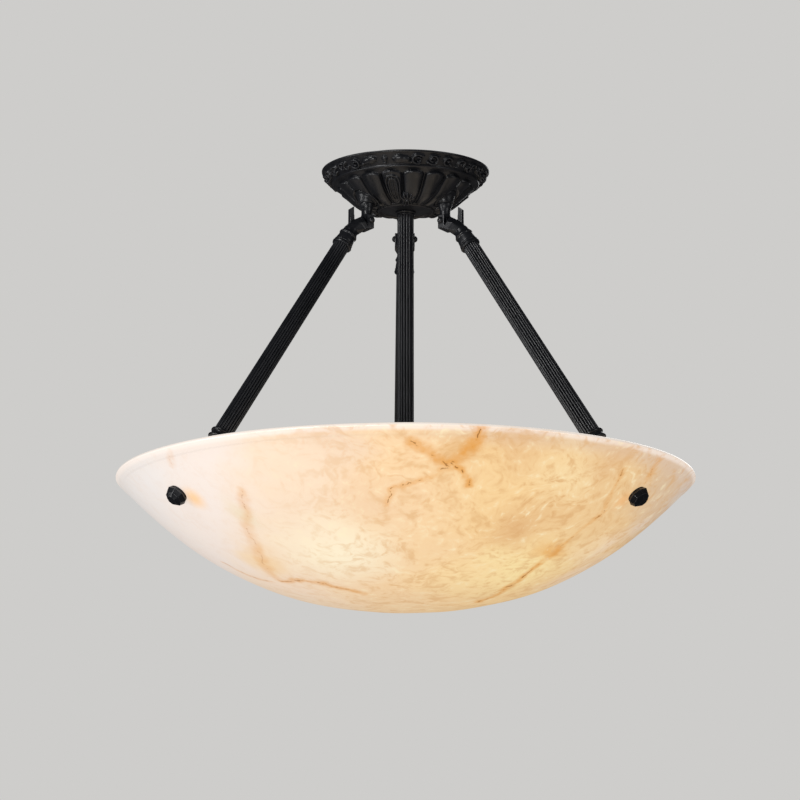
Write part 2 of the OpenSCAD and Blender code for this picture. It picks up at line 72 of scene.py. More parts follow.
class Body(Enum):
    """Bodies that don't belong to one rod."""

    CEILING = "ceiling_frame"
    BOWL = "bowl"


# Meshes


def soften(points: Sequence[Sequence[float]], radius: float, closed: bool = False,
           steps: int = 3) -> np.ndarray:
    """Rounds the corners of an outline.

    Args:
        points: corners of the outline, each (radius, height).
        radius: how far from its corner a rounding starts, at most.
        closed: whether the last point joins the first.
        steps: pieces in each rounding.

    Returns:
        The points of the rounded outline.
    """
    corners = np.array(points, float)
    count = len(corners)
    made = []
    for i, corner in enumerate(corners):
        if not closed and i in (0, count - 1):
            made.append(corner)
            continue
        before = corners[i - 1] - corner
        after = corners[(i + 1) % count] - corner
        size_before, size_after = np.linalg.norm(before), np.linalg.norm(after)
        reach = min(radius, 0.45 * size_before, 0.45 * size_after)
        start = corner + before / size_before * reach
        end = corner + after / size_after * reach
        for t in np.linspace(0.0, 1.0, steps + 1):
            made.append((1 - t) ** 2 * start + 2 * t * (1 - t) * corner + t ** 2 * end)
    return np.array(made)


def mesh_object(name: str, points: Any, faces: Any, sharp: float) -> bpy.types.Object:
    """Makes an object from points and faces, with its faces turned outward.

    Args:
        name: the object's name.
        points: the points.
        faces: the faces, as lists of point numbers.
        sharp: angle in degrees past which an edge is drawn sharp.

    Returns:
        The object, in millimetres.
    """
    mesh = bpy.data.meshes.new(name)
    mesh.from_pydata(points, [], faces)
    obj = bpy.data.objects.new(name, mesh)
    bpy.context.scene.collection.objects.link(obj)
    shade(obj, sharp)
    return obj


def shade(obj: bpy.types.Object, sharp: float) -> None:
    """Turns a closed mesh's faces outward and shades it smooth up to an angle.

    Args:
        obj: the object.
        sharp: angle in degrees past which an edge is drawn sharp.
    """
    mesh = obj.data
    mesh.calc_loop_triangles()
    co = np.zeros(len(mesh.vertices) * 3)
    mesh.vertices.foreach_get("co", co)
    corners = np.zeros(len(mesh.loop_triangles) * 3, np.int32)
    mesh.loop_triangles.foreach_get("vertices", corners)
    a, b, c = np.moveaxis(co.reshape(-1, 3)[corners].reshape(-1, 3, 3), 1, 0)
    if np.einsum("ij,ij->i", a, np.cross(b, c)).sum() < 0:
        mesh.flip_normals()
    mesh.shade_smooth()
    mesh.set_sharp_from_angle(angle=math.radians(sharp))


def ring_object(name: str, rings: np.ndarray, closed: bool = False,
                sharp: float = 50.0) -> bpy.types.Object:
    """Skins a stack of rings.

    Args:
        name: the object's name.
        rings: points by ring and by place round the ring.
        closed: whether the last ring joins the first; otherwise both ends are capped.
        sharp: angle in degrees past which an edge is drawn sharp.

    Returns:
        The object.
    """
    rows, columns = rings.shape[:2]
    points = rings.reshape(-1, 3)
    start = np.arange(rows if closed else rows - 1)[:, None] * columns
    below = (start + columns) % (rows * columns)
    here = np.arange(columns)[None, :]
    beside = (here + 1) % columns
    quads = np.stack([start + here, start + beside, below + beside, below + here], axis=-1)
    faces = quads.reshape(-1, 4).tolist()
    if not closed:
        last = (rows - 1) * columns
        points = np.vstack([points, rings[0].mean(axis=0), rings[-1].mean(axis=0)])
        first_pole, last_pole = rows * columns, rows * columns + 1
        for i in range(columns):
            j = (i + 1) % columns
            faces.append([first_pole, j, i])
            faces.append([last_pole, last + i, last + j])
    return mesh_object(name, points.tolist(), faces, sharp)


def turned(name: str, outline: Sequence[Sequence[float]], soft: float = 0.4, columns: int = 96,
           closed: bool = False, sharp: float = 50.0) -> bpy.types.Object:
    """Turns an outline about Z.

    Args:
        name: the object's name.
        outline: (radius, height) corners, closed round a bore or open from pole to pole.
        soft: rounding of the corners.
        columns: sides of the turned piece.
        closed: whether the outline goes round a bore.
        sharp: angle in degrees past which an edge is drawn sharp.

    Returns:
        The object.
    """
    curve = soften(outline, soft, closed)
    angle = np.arange(columns) * 2 * np.pi / columns
    radius = np.maximum(curve[:, :1], POLE_R)
    height = np.repeat(curve[:, 1:], columns, axis=1)
    rings = np.stack([radius * np.cos(angle), radius * np.sin(angle), height], axis=-1)
    return ring_object(name, rings, closed, sharp)


@dataclass(frozen=True)
class Thread:
    """A screw thread from one height to another."""

    root: float
    depth: float
    pitch: float
    low: float
    high: float
    rounded: bool = False

    def make(self, name: str, columns: int = 48, steps: int = 8) -> bpy.types.Object:
        """Makes the threaded rod.

        Args:
            name: the object's name.
            columns: sides of the rod.
            steps: rings in each pitch.

        Returns:
            The object.
        """
        height = np.arange(self.low, self.high + 1e-6, self.pitch / steps)[:, None]
        angle = np.arange(columns)[None, :] * 2 * np.pi / columns
        phase = (height / self.pitch - angle / (2 * np.pi)) % 1.0
        tooth = 0.5 - 0.5 * np.cos(2 * np.pi * phase) if self.rounded else 1 - abs(2 * phase - 1)
        run_in = np.minimum(height - self.low, self.high - height) / self.pitch
        radius = self.root + self.depth * tooth * np.clip(run_in, 0.0, 1.0)
        rings = np.stack([radius * np.cos(angle), radius * np.sin(angle),
                          np.broadcast_to(height, radius.shape)], axis=-1)
        return ring_object(name, rings, sharp=70.0)


def swept(name: str, path: np.ndarray, radii: np.ndarray, side: np.ndarray,
          columns: int = 48) -> bpy.types.Object:
    """Sweeps a circle along a path that lies in one plane.

    Args:
        name: the object's name.
        path: points of the path.
        radii: the circle's radius at each point.
        side: unit vector square to the path's plane.
        columns: sides of the swept piece.

    Returns:
        The object.
    """
    along = np.gradient(path, axis=0)
    along /= np.linalg.norm(along, axis=1)[:, None]
    out = np.cross(along, side)
    angle = np.arange(columns) * 2 * np.pi / columns
    spokes = (np.cos(angle)[None, :, None] * out[:, None, :]
              + np.sin(angle)[None, :, None] * side[None, None, :])
    return ring_object(name, path[:, None, :] + radii[:, None, None] * spokes)


def circle(radius: float, centre: Sequence[float], count: int = 32) -> list[Vector]:
    """Returns the points of a level circle about centre."""
    return [Vector((centre[0] + radius * math.cos(a), centre[1] + radius * math.sin(a), centre[2]))
            for a in np.linspace(0, 2 * math.pi, count, endpoint=False)]


def block(low: Sequence[float], high: Sequence[float]) -> list[Vector]:
    """Returns the eight corners of a box."""
    return [Vector((x, y, z)) for x in (low[0], high[0]) for y in (low[1], high[1])
            for z in (low[2], high[2])]


def eye(radius: float, low: float, high: float, count: int = 40) -> list[Vector]:
    """Returns the two rims of a round eye about the Y axis, from y = low to y = high."""
    return [Vector((radius * math.cos(a), y, radius * math.sin(a)))
            for a in np.linspace(0, 2 * math.pi, count, endpoint=False) for y in (low, high)]


class Clay:
    """A lump built up from convex solids and then given one smooth skin."""

    def __init__(self, name: str) -> None:
        """Starts an empty lump of that name."""
        self.name = name
        self.parts = bmesh.new()

    def add(self, points: Iterable[Vector]) -> None:
        """Adds the convex solid round some points.

        Args:
            points: the points that the solid covers.
        """
        part = bmesh.new()
        for point in points:
            part.verts.new(point)
        done = bmesh.ops.convex_hull(part, input=part.verts)
        spare = {v for v in done["geom_interior"] + done["geom_unused"]
                 if isinstance(v, bmesh.types.BMVert)}
        bmesh.ops.delete(part, geom=list(spare), context="VERTS")
        mesh = bpy.data.meshes.new(self.name)
        part.to_mesh(mesh)
        part.free()
        self.parts.from_mesh(mesh)
        bpy.data.meshes.remove(mesh)

    def skin(self, voxel: float, passes: int, sharp: float = 40.0) -> bpy.types.Object:
        """Joins the solids under one skin.

        Args:
            voxel: size of the skin's cells.
            passes: how often the skin is smoothed.
            sharp: angle in degrees past which an edge is drawn sharp.

        Returns:
            The object.
        """
        mesh = bpy.data.meshes.new(self.name)
        self.parts.to_mesh(mesh)
        self.parts.free()
        obj = bpy.data.objects.new(self.name, mesh)
        bpy.context.scene.collection.objects.link(obj)
        remesh = obj.modifiers.new("skin", "REMESH")
        remesh.mode = "VOXEL"
        remesh.voxel_size = voxel
        smooth = obj.modifiers.new("smooth", "SMOOTH")
        smooth.factor = 0.5
        smooth.iterations = passes
        apply_modifiers(obj)
        shade(obj, sharp)
        return obj


def apply_modifiers(obj: bpy.types.Object) -> None:
    """Replaces an object's mesh by the result of its modifiers."""
    bpy.context.view_layer.update()
    graph = bpy.context.evaluated_depsgraph_get()
    mesh = bpy.data.meshes.new_from_object(obj.evaluated_get(graph), depsgraph=graph)
    obj.modifiers.clear()
    obj.data = mesh


def cut(obj: bpy.types.Object, *cutters: bpy.types.Object, sharp: float = 40.0) -> None:
    """Cuts the cutters' solids out of an object and removes the cutters.

    Args:
        obj: the object that is cut.
        cutters: closed objects that don't meet each other.
        sharp: angle in degrees past which an edge is drawn sharp.
    """
    for cutter in cutters:
        step = obj.modifiers.new("cut", "BOOLEAN")
        step.object = cutter
        step.operation = "DIFFERENCE"
        step.solver = "EXACT"
    apply_modifiers(obj)
    for cutter in cutters:
        bpy.data.objects.remove(cutter)
    shade(obj, sharp)


def bevel(obj: bpy.types.Object, width: float, sharp: float = 40.0) -> None:
    """Rounds an object's hard edges to a width."""
    step = obj.modifiers.new("bevel", "BEVEL")
    step.width = width
    step.segments = 3
    step.limit_method = "ANGLE"
    step.angle_limit = math.radians(20)
    apply_modifiers(obj)
    shade(obj, sharp)


def join(name: str, parts: Sequence[bpy.types.Object]) -> bpy.types.Object:
    """Joins several objects into one.

    Args:
        name: the joined object's name.
        parts: the objects, which are removed.

    Returns:
        The joined object.
    """
    whole = bmesh.new()
    for part in parts:
        whole.from_mesh(part.data)
        bpy.data.objects.remove(part)
    mesh = bpy.data.meshes.new(name)
    whole.to_mesh(mesh)
    whole.free()
    obj = bpy.data.objects.new(name, mesh)
    bpy.context.scene.collection.objects.link(obj)
    return obj


# Node trees


class Pen:
    """Draws a node tree: adds nodes and feeds their sockets."""

    def __init__(self, tree: bpy.types.NodeTree) -> None:
        """Takes the tree that is drawn."""
        self.tree = tree

    def feed(self, socket: bpy.types.NodeSocket, value: Any) -> None:
        """Links a socket to another, or sets its value."""
        if isinstance(value, bpy.types.NodeSocket):
            self.tree.links.new(value, socket)
        else:
            socket.default_value = value

    def node(self, kind: str, feeds: dict[Any, Any] | None = None, **settings: Any) -> bpy.types.Node:
        """Adds a node.

        Args:
            kind: the node's type.
            feeds: sockets or values for its inputs, by name or number.
            settings: its own settings.

        Returns:
            The node.
        """
        made = self.tree.nodes.new(kind)
        for key, value in settings.items():
            setattr(made, key, value)
        for key, value in (feeds or {}).items():
            self.feed(made.inputs[key], value)
        return made

    def math(self, operation: str, *values: Any, clamp: bool = False) -> bpy.types.NodeSocket:
        """Adds a Math node and returns its result."""
        made = self.node("ShaderNodeMath", dict(enumerate(values)), operation=operation)
        made.use_clamp = clamp
        return made.outputs[0]

    def vector(self, operation: str, *values: Any) -> bpy.types.NodeSocket:
        """Adds a Vector Math node and returns its result."""
        feeds = {0: values[0], 3: values[1]} if operation == "SCALE" else dict(enumerate(values))
        made = self.node("ShaderNodeVectorMath", feeds, operation=operation)
        return made.outputs[1 if operation in ("LENGTH", "DISTANCE", "DOT_PRODUCT") else 0]

    def fade(self, value: Any, start: Any, end: Any, low: Any = 0.0,
             high: Any = 1.0) -> bpy.types.NodeSocket:
        """Runs smoothly from low to high as value goes from start to end."""
        feeds = {"Value": value, "From Min": start, "From Max": end, "To Min": low, "To Max": high}
        made = self.node("ShaderNodeMapRange", feeds, interpolation_type="SMOOTHSTEP")
        return made.outputs[0]

    def blend(self, share: Any, first: Any, second: Any, mode: str = "MIX") -> bpy.types.NodeSocket:
        """Blends two colours and returns the result."""
        made = self.node("ShaderNodeMix", data_type="RGBA", blend_type=mode)
        for number, value in ((0, share), (6, first), (7, second)):
            self.feed(made.inputs[number], value)
        return made.outputs[2]

    def ramp(self, value: Any, stops: Sequence[tuple[float, Any]]) -> bpy.types.NodeSocket:
        """Turns a value from 0 to 1 into a colour that runs smoothly between stops."""
        made = self.node("ShaderNodeValToRGB", {0: value})
        made.color_ramp.interpolation = "EASE"
        points = made.color_ramp.elements
        while len(points) < len(stops):
            points.new(0.5)
        for point, (place, colour) in zip(points, stops):
            point.position = place
            point.color = colour
        return made.outputs[0]

    def noise(self, point: Any, size: float, detail: float = 3.0, rough: float = 0.5,
              distortion: float = 0.0, kind: str = "FBM", colour: bool = False) -> bpy.types.NodeSocket:
        """Adds noise.

        Args:
            point: coordinate in millimetres.
            size: size of its largest features in millimetres.
            detail: how many finer layers it has.
            rough: share of the finer layers.
            distortion: how far it is bent by itself.
            kind: Blender's noise type.
            colour: whether the three-part result is returned instead of the value.

        Returns:
            The noise, from 0 to 1.
        """
        feeds = {"Vector": point, "Scale": 1.0 / size, "Detail": detail, "Roughness": rough,
                 "Distortion": distortion}
        made = self.node("ShaderNodeTexNoise", feeds, noise_type=kind, normalize=True)
        return made.outputs[1 if colour else 0]

    def point(self) -> bpy.types.NodeSocket:
        """Returns the place on the piece in millimetres."""
        spot = self.node("ShaderNodeTexCoord").outputs["Object"]
        return self.vector("SCALE", spot, 1.0 / MM)


def new_group(name: str, inputs: dict[str, str], outputs: dict[str, str]) -> tuple[Pen, Any, Any]:
    """Starts a shader node group.

    Args:
        name: the group's name.
        inputs: names and kinds of its inputs: Float, Vector or Color.
        outputs: names and kinds of its outputs.

    Returns:
        A pen on the group, its input node's outputs and its output node's inputs.
    """
    tree = bpy.data.node_groups.new(name, "ShaderNodeTree")
    for way, sockets in (("INPUT", inputs), ("OUTPUT", outputs)):
        for title, kind in sockets.items():
            tree.interface.new_socket(title, in_out=way, socket_type="NodeSocket" + kind)
    pen = Pen(tree)
    return pen, pen.node("NodeGroupInput").outputs, pen.node("NodeGroupOutput").inputs


class Effects:
    """Shader node groups that several finishes share."""

    def __init__(self) -> None:
        """Builds each group once."""
        self.wear_and_edge_light = self._wear_and_edge_light()
        self.grain = self._grain()
        self.vein = self._vein()
        self.spot = self._spot()
        self.hollow = self._groove_shade()

    def _wear_and_edge_light(self) -> bpy.types.NodeTree:
        """Builds the mask of raised edges, broken up by noise: partly wear and partly a painted highlight
        along ridges.
        """
        pen, given, result = new_group(
            "Worn and lit edges", {"Point": "Vector", "Reach": "Float"}, {"Mask": "Float"})
        sharpness = pen.node("ShaderNodeNewGeometry").outputs["Pointiness"]
        broken = pen.noise(given["Point"], 6.25, 4.0, 0.6)
        raised = pen.math("SUBTRACT", sharpness, 0.5)
        limit = pen.math("MULTIPLY", given["Reach"], pen.math("ADD", broken, 0.5))
        pen.feed(result["Mask"], pen.fade(pen.math("ADD", raised, limit), 0.08, 0.20))
        return pen.tree

    def _grain(self) -> bpy.types.NodeTree:
        """Builds the fine unevenness of a cast or moulded surface."""
        pen, given, result = new_group(
            "Cast grain", {"Point": "Vector", "Fine": "Float"}, {"Height": "Float", "Patches": "Float"})
        fine = pen.noise(pen.vector("SCALE", given["Point"], given["Fine"]), 1.0, 3.0, 0.6)
        broad = pen.noise(given["Point"], 22.0, 3.0, 0.5)
        pen.feed(result["Height"], fine)
        pen.feed(result["Patches"], pen.fade(broad, 0.35, 0.65))
        return pen.tree

    def _vein(self) -> bpy.types.NodeTree:
        """Builds the distance to one straight piece of a vein, or the nearest so far."""
        pen, given, result = new_group(
            "Vein piece", {"Point": "Vector", "Start": "Vector", "Run": "Vector", "Nearest": "Float"},
            {"Nearest": "Float"})
        away = pen.vector("SUBTRACT", given["Point"], given["Start"])
        size = pen.vector("DOT_PRODUCT", given["Run"], given["Run"])
        share = pen.math("DIVIDE", pen.vector("DOT_PRODUCT", away, given["Run"]), size, clamp=True)
        foot = pen.vector("SCALE", given["Run"], share)
        distance = pen.vector("DISTANCE", away, foot)
        pen.feed(result["Nearest"], pen.math("MINIMUM", distance, given["Nearest"]))
        return pen.tree

    def _spot(self) -> bpy.types.NodeTree:
        """Builds a soft round mask about a centre."""
        pen, given, result = new_group(
            "Soft spot", {"Point": "Vector", "Centre": "Vector", "Reach": "Float", "Strength": "Float"},
            {"Mask": "Float"})
        distance = pen.vector("DISTANCE", given["Point"], given["Centre"])
        mask = pen.fade(distance, given["Reach"], 0.0)
        pen.feed(result["Mask"], pen.math("MULTIPLY", mask, given["Strength"]))
        return pen.tree

    def _groove_shade(self) -> bpy.types.NodeTree:
        """Builds a painted shade for grooves and corners: a mask from ambient occlusion that falls to 0
        there.
        """
        pen, given, result = new_group("Painted groove shade", {"Reach": "Float"}, {"Mask": "Float"})
        around = pen.node("ShaderNodeAmbientOcclusion", {"Distance": given["Reach"]}, samples=6)
        pen.feed(result["Mask"], pen.fade(around.outputs["AO"], 0.42, 1.0))
        return pen.tree

    def place(self, pen: Pen, group: bpy.types.NodeTree, feeds: dict[str, Any],
              output: int = 0) -> bpy.types.NodeSocket:
        """Places a group in a material.

        Args:
            pen: pen on the material's tree.
            group: the group.
            feeds: its inputs.
            output: number of the wanted output.

        Returns:
            The group's output.
        """
        made = pen.node("ShaderNodeGroup", node_tree=group)
        for key, value in feeds.items():
            pen.feed(made.inputs[key], value)
        return made.outputs[output]


def srgb(red: int, green: int, blue: int) -> tuple[float, float, float, float]:
    """Turns a screen colour of 0 to 255 into Blender's linear one."""
    def part(value: int) -> float:
        """Turns one channel."""
        share = value / 255
        return share / 12.92 if share <= 0.04045 else ((share + 0.055) / 1.055) ** 2.4
    return part(red), part(green), part(blue), 1.0


def start_material(name: str, **constants: Any) -> tuple[bpy.types.Material, Pen, bpy.types.Node]:
    """Starts a material with a Principled shader.

    Args:
        name: the material's name.
        constants: values that are the same all over, by socket name with _ for a space.

    Returns:
        The material, a pen on its tree, and the shader node.
    """
    material = bpy.data.materials.new(name)
    material.use_nodes = True
    material.node_tree.nodes.clear()
    pen = Pen(material.node_tree)
    shader = pen.node("ShaderNodeBsdfPrincipled")
    output = pen.node("ShaderNodeOutputMaterial")
    pen.feed(output.inputs["Surface"], shader.outputs[0])
    for key, value in constants.items():
        shader.inputs[key.replace("_", " ")].default_value = value
    return material, pen, shader


@dataclass(frozen=True)
class PlainFinish:
    """A finish of one colour with patches, grain and lighter raised edges, partly wear and partly painted
    highlight, and at will a painted shade that dims reflections in grooves.
    """

    slot: Slot
    colour: tuple[float, float, float, float]
    patch_colour: tuple[float, float, float, float]
    worn_and_lit_colour: tuple[float, float, float, float]
    rough: float
    patch_rough: float
    grain_fine: float
    grain_height: float
    wear_and_light_reach: float = 0.06
    metallic: float = 0.0
    specular: float = 0.5
    # Reach of a painted shade that dims reflections in grooves; 0 leaves it out.
    groove_shade_reach: float = 0.0

    def build(self, effects: Effects) -> bpy.types.Material:
        """Builds the finish's material.

        Args:
            effects: the shared node groups.

        Returns:
            The material.
        """
        material, pen, shader = start_material(
            self.slot.value, Metallic=self.metallic, Specular_IOR_Level=self.specular)
        point = pen.point()
        grain = {"Point": point, "Fine": self.grain_fine}
        height = effects.place(pen, effects.grain, grain, 0)
        patches = effects.place(pen, effects.grain, grain, 1)
        # Raised edges take a lighter colour: partly wear, partly a painted highlight along ridges.
        worn_and_lit = effects.place(pen, effects.wear_and_edge_light, {"Point": point, "Reach": self.wear_and_light_reach})
        colour = pen.blend(patches, self.colour, self.patch_colour)
        pen.feed(shader.inputs["Base Color"], pen.blend(worn_and_lit, colour, self.worn_and_lit_colour))
        # Painted shade: the reflections are dimmed in grooves and corners by the ambient-occlusion mask.
        if self.groove_shade_reach:
            unshaded = effects.place(pen, effects.hollow, {"Reach": self.groove_shade_reach * MM})
            groove_shaded_specular = pen.math("MULTIPLY_ADD", unshaded, self.specular, 0.02)
            pen.feed(shader.inputs["Specular IOR Level"], groove_shaded_specular)
        pen.feed(shader.inputs["Roughness"], pen.fade(patches, 0.0, 1.0, self.rough, self.patch_rough))
        bump = pen.node("ShaderNodeBump", {"Strength": 0.6, "Distance": self.grain_height * MM,
                                           "Height": height})
        pen.feed(shader.inputs["Normal"], bump.outputs[0])
        return material


@dataclass(frozen=True)
class GlobeFinish:
    """Frosted glass lit from behind, its glow mottled by soft clouds."""

    slot: Slot = Slot.GLOBE
    colour: tuple[float, float, float, float] = srgb(255, 246, 224)
    glow: tuple[float, float, float, float] = srgb(255, 236, 190)
    strength: float = 0.85

    def build(self, effects: Effects) -> bpy.types.Material:
        """Builds the globe's material.

        Args:
            effects: the shared node groups.

        Returns:
            The material.
        """
        material, pen, shader = start_material(
            self.slot.value, Roughness=0.35, Coat_Weight=0.3, Coat_Roughness=0.15,
            Emission_Strength=self.strength)
        cloud = pen.noise(pen.point(), 14.0, 2.0)
        pen.feed(shader.inputs["Base Color"], pen.blend(cloud, srgb(214, 206, 188), self.colour))
        pen.feed(shader.inputs["Emission Color"], pen.blend(cloud, self.glow, self.colour))
        frost = effects.place(pen, effects.grain, {"Point": pen.point(), "Fine": 3.0})
        bump = pen.node("ShaderNodeBump", {"Strength": 0.3, "Distance": 0.05 * MM, "Height": frost})
        pen.feed(shader.inputs["Normal"], bump.outputs[0])
        return material


@dataclass(frozen=True)
class Wall:
    """The bowl's outer curve, which its mesh and its pattern both follow."""

    rim_r: float = 300.0
    rim_z: float = -332.6
    depth: float = 131.5
    power: float = 2.44

    def height(self, radius: Any) -> Any:
        """Returns the outer wall's height at a distance from the axis."""
        return self.rim_z - self.depth * (1 - (radius / self.rim_r) ** self.power)

    def slope(self, radius: Any) -> Any:
        """Returns the wall's slope in radians at a distance from the axis."""
        return np.arctan(self.depth * self.power / self.rim_r * (radius / self.rim_r) ** (self.power - 1))

    def spot(self, turn: float, radius: float) -> Vector:
        """Returns the point of the outer wall at a turn from the front and a radius."""
        angle = math.radians(turn)
        return Vector((radius * math.sin(angle), -radius * math.cos(angle), self.height(radius)))


@dataclass(frozen=True)
class Vein:
    """A vein of the stone: its way over the wall, its dark core and its stain."""

    way: tuple[tuple[float, float], ...]
    core: float = 0.9
    core_share: float = 0.8
    stain: float = 12.0
    stain_share: float = 0.6


@dataclass(frozen=True)
class Cloud:
    """A soft spot of another colour on the wall."""

    turn: float
    radius: float
    reach: float
    share: float
    colour: tuple[float, float, float, float]


@dataclass(frozen=True)
class AlabasterFinish:
    """Polished stone with a painted glow standing in for the lamps shining through it: cream clouds, crumpled
    bands and brown veins.
    """

    slot: Slot = Slot.STONE
    wall: Wall = Wall()
    # Strength of the painted glow: the stone's colours are emitted as though lit from inside.
    glow: float = 0.84
    body_share: float = 0.32
    tone: float = 1.44
    # Ground from left to right: partly the stone's tone, partly a painted glow, warm in the middle, and a
    # painted shade, grey at the right.
    ground: tuple[tuple[float, tuple[float, float, float, float]], ...] = (
        (0.02, srgb(237, 231, 227)), (0.16, srgb(243, 229, 219)), (0.30, srgb(246, 221, 194)),
        (0.48, srgb(248, 213, 168)), (0.66, srgb(248, 211, 155)), (0.84, srgb(241, 204, 152)),
        (0.93, srgb(226, 196, 162)), (0.99, srgb(224, 208, 194)))
    tan: tuple[float, float, float, float] = srgb(222, 172, 114)
    # Colour of the painted shade just under the rim.
    grey: tuple[float, float, float, float] = srgb(224, 198, 176)
    bright: tuple[float, float, float, float] = srgb(255, 240, 200)
    # Colour of the painted highlight along the rim.
    lip: tuple[float, float, float, float] = srgb(253, 240, 230)
    # Plain tone of upward-facing inner surfaces, chosen by which way they face.
    inside: tuple[float, float, float, float] = srgb(226, 218, 210)
    stain: tuple[float, float, float, float] = srgb(228, 158, 72)
    core: tuple[float, float, float, float] = srgb(142, 88, 38)
    veins: tuple[Vein, ...] = (
        Vein(((8.7, 270), (10.7, 276), (11.9, 282), (13.2, 297)), 0.9, 0.85, 12, 0.9),
        Vein(((8.0, 268), (4.2, 276), (0.0, 286)), 0.7, 0.7, 10, 0.8),
        Vein(((8.8, 269), (10.6, 266), (12.2, 256), (13.2, 250)), 0.9, 0.85, 8, 0.85),
        Vein(((8.0, 267), (4.9, 257), (-0.5, 250), (-4.1, 240), (-6.0, 229)), 0.6, 0.7, 7, 0.5),
        Vein(((49.6, 280), (54.4, 239), (53.2, 214), (53.1, 190)), 0.7, 0.55, 6, 0.45),
        Vein(((53.1, 190), (53.6, 165), (59.3, 131), (75.8, 90), (85.5, 76)), 0.9, 0.8, 9, 0.8),
        Vein(((58.0, 295), (59.1, 284), (59.7, 276)), 0.6, 0.5, 7, 0.5),
        Vein(((-40.3, 250), (-46.7, 219), (-55.3, 183), (-67.8, 146), (-68.4, 136)), 0.6, 0.3, 12, 0.38),
        Vein(((-68.4, 136), (-56.3, 126), (-45.4, 112), (-33.9, 74)), 0.8, 0.6, 9, 0.6),
        Vein(((-84.8, 187), (-83.4, 164), (-76.9, 141)), 0.7, 0.5, 7, 0.4),
        Vein(((-52.4, 295), (-54.2, 287)), 0.5, 0.2, 8, 0.25),
        Vein(((150, 297), (158, 262), (171, 236), (176, 196), (190, 160)), 0.9, 0.7, 11, 0.7),
        Vein(((-118, 293), (-126, 250), (-120, 214), (-132, 168)), 0.7, 0.5, 11, 0.5),
        Vein(((112, 240), (121, 205), (140, 176), (150, 140)), 0.7, 0.4, 10, 0.4),
    )
    clouds: tuple[Cloud, ...] = (
        Cloud(-25.7, 170, 92, 0.9, srgb(255, 241, 210)),
        Cloud(-14.0, 285, 62, 0.5, srgb(234, 208, 186)),
        Cloud(-10.0, 225, 60, 0.5, srgb(240, 206, 172)),
        Cloud(50.0, 145, 96, 0.9, srgb(255, 230, 170)),
        Cloud(22.0, 288, 48, 0.5, srgb(226, 180, 132)),
        Cloud(44.0, 288, 46, 0.5, srgb(226, 182, 136)),
        Cloud(72.0, 205, 42, 0.6, srgb(247, 228, 208)),
        Cloud(80.0, 240, 40, 0.6, srgb(240, 224, 208)),
        Cloud(92.0, 180, 60, 0.6, srgb(246, 222, 198)),
        Cloud(-80.0, 130, 60, 0.5, srgb(246, 222, 200)),
        Cloud(20.0, 120, 70, 0.6, srgb(255, 224, 168)),
        Cloud(175, 150, 95, 0.9, srgb(255, 238, 196)),
        Cloud(9.4, 277, 42, 0.75, srgb(226, 178, 120)),
        Cloud(32.1, 215, 58, 0.75, srgb(226, 178, 124)),
        Cloud(52.6, 188, 30, 0.75, srgb(236, 172, 88)),
        Cloud(-46.6, 230, 36, 0.55, srgb(232, 216, 178)),
        Cloud(-58.0, 168, 42, 0.6, srgb(246, 208, 152)),
        Cloud(34.0, 268, 56, 0.6, srgb(252, 226, 176)),
        Cloud(-160, 262, 60, 0.5, srgb(232, 192, 142)),
        Cloud(110, 255, 66, 0.4, srgb(240, 208, 162)),
        Cloud(31.0, 168, 34, 0.7, srgb(255, 232, 176)),
        Cloud(66.0, 200, 44, 0.6, srgb(252, 222, 176)),
    )
    halos: tuple[Cloud, ...] = (
        Cloud(-56.6, 255, 20, 0.9, srgb(255, 208, 156)),
        Cloud(58.0, 255, 19, 0.9, srgb(246, 192, 132)),
        Cloud(180.0, 255, 20, 0.8, srgb(250, 202, 146)),
    )

    def build(self, effects: Effects) -> bpy.types.Material:
        """Builds the stone's material.

        Args:
            effects: the shared node groups.

        Returns:
            The material.
        """
        material, pen, shader = start_material(
            self.slot.value, Roughness=0.28, Coat_Weight=0.25, Coat_Roughness=0.12,
            Specular_IOR_Level=0.4, Emission_Strength=self.glow)
        point = pen.point()
        drift = self._drift(pen, point, size=80.0, reach=34.0)
        ripple = self._drift(pen, point, size=20.0, reach=9.0)
        bent = pen.vector("ADD", pen.vector("ADD", point, drift), ripple)
        shaken = pen.vector("ADD", point, self._drift(pen, point, size=26.0, reach=9.0))
        shaken = pen.vector("ADD", shaken, self._drift(pen, point, size=6.0, reach=3.0))
        colour = self._ground(pen, bent, point)
        colour = self._clouds(pen, effects, colour, bent, point)
        colour = self._crumple(pen, effects, colour, point, bent)
        colour = self._veins(pen, effects, colour, shaken, point)
        # Painted light: surfaces facing up, the inner wall, are blended towards a plain greyish tone by which
        # way they face, so the warm painted glow shows only on the outer wall.
        facing = pen.node("ShaderNodeSeparateXYZ", {0: pen.node("ShaderNodeNewGeometry").outputs["Normal"]})
        painted_inside_share = pen.fade(facing.outputs[2], 0.05, 0.4, 0.0, 0.75)
        colour = pen.blend(painted_inside_share, colour, self.inside)
        # Painted glow: the colours are emitted, standing in for the lamps' light through the wall, and the
        # base colour keeps only a share of them.
        pen.feed(shader.inputs["Emission Color"], colour)
        pen.feed(shader.inputs["Base Color"], pen.vector("SCALE", colour, self.body_share))
        return material

    def _drift(self, pen: Pen, point: Any, size: float, reach: float) -> bpy.types.NodeSocket:
        """Returns a noise offset of a size and a reach."""
        offset = pen.vector("SUBTRACT", pen.noise(point, size, 2.0, colour=True), (0.5, 0.5, 0.5))
        return pen.vector("SCALE", offset, reach * 2)

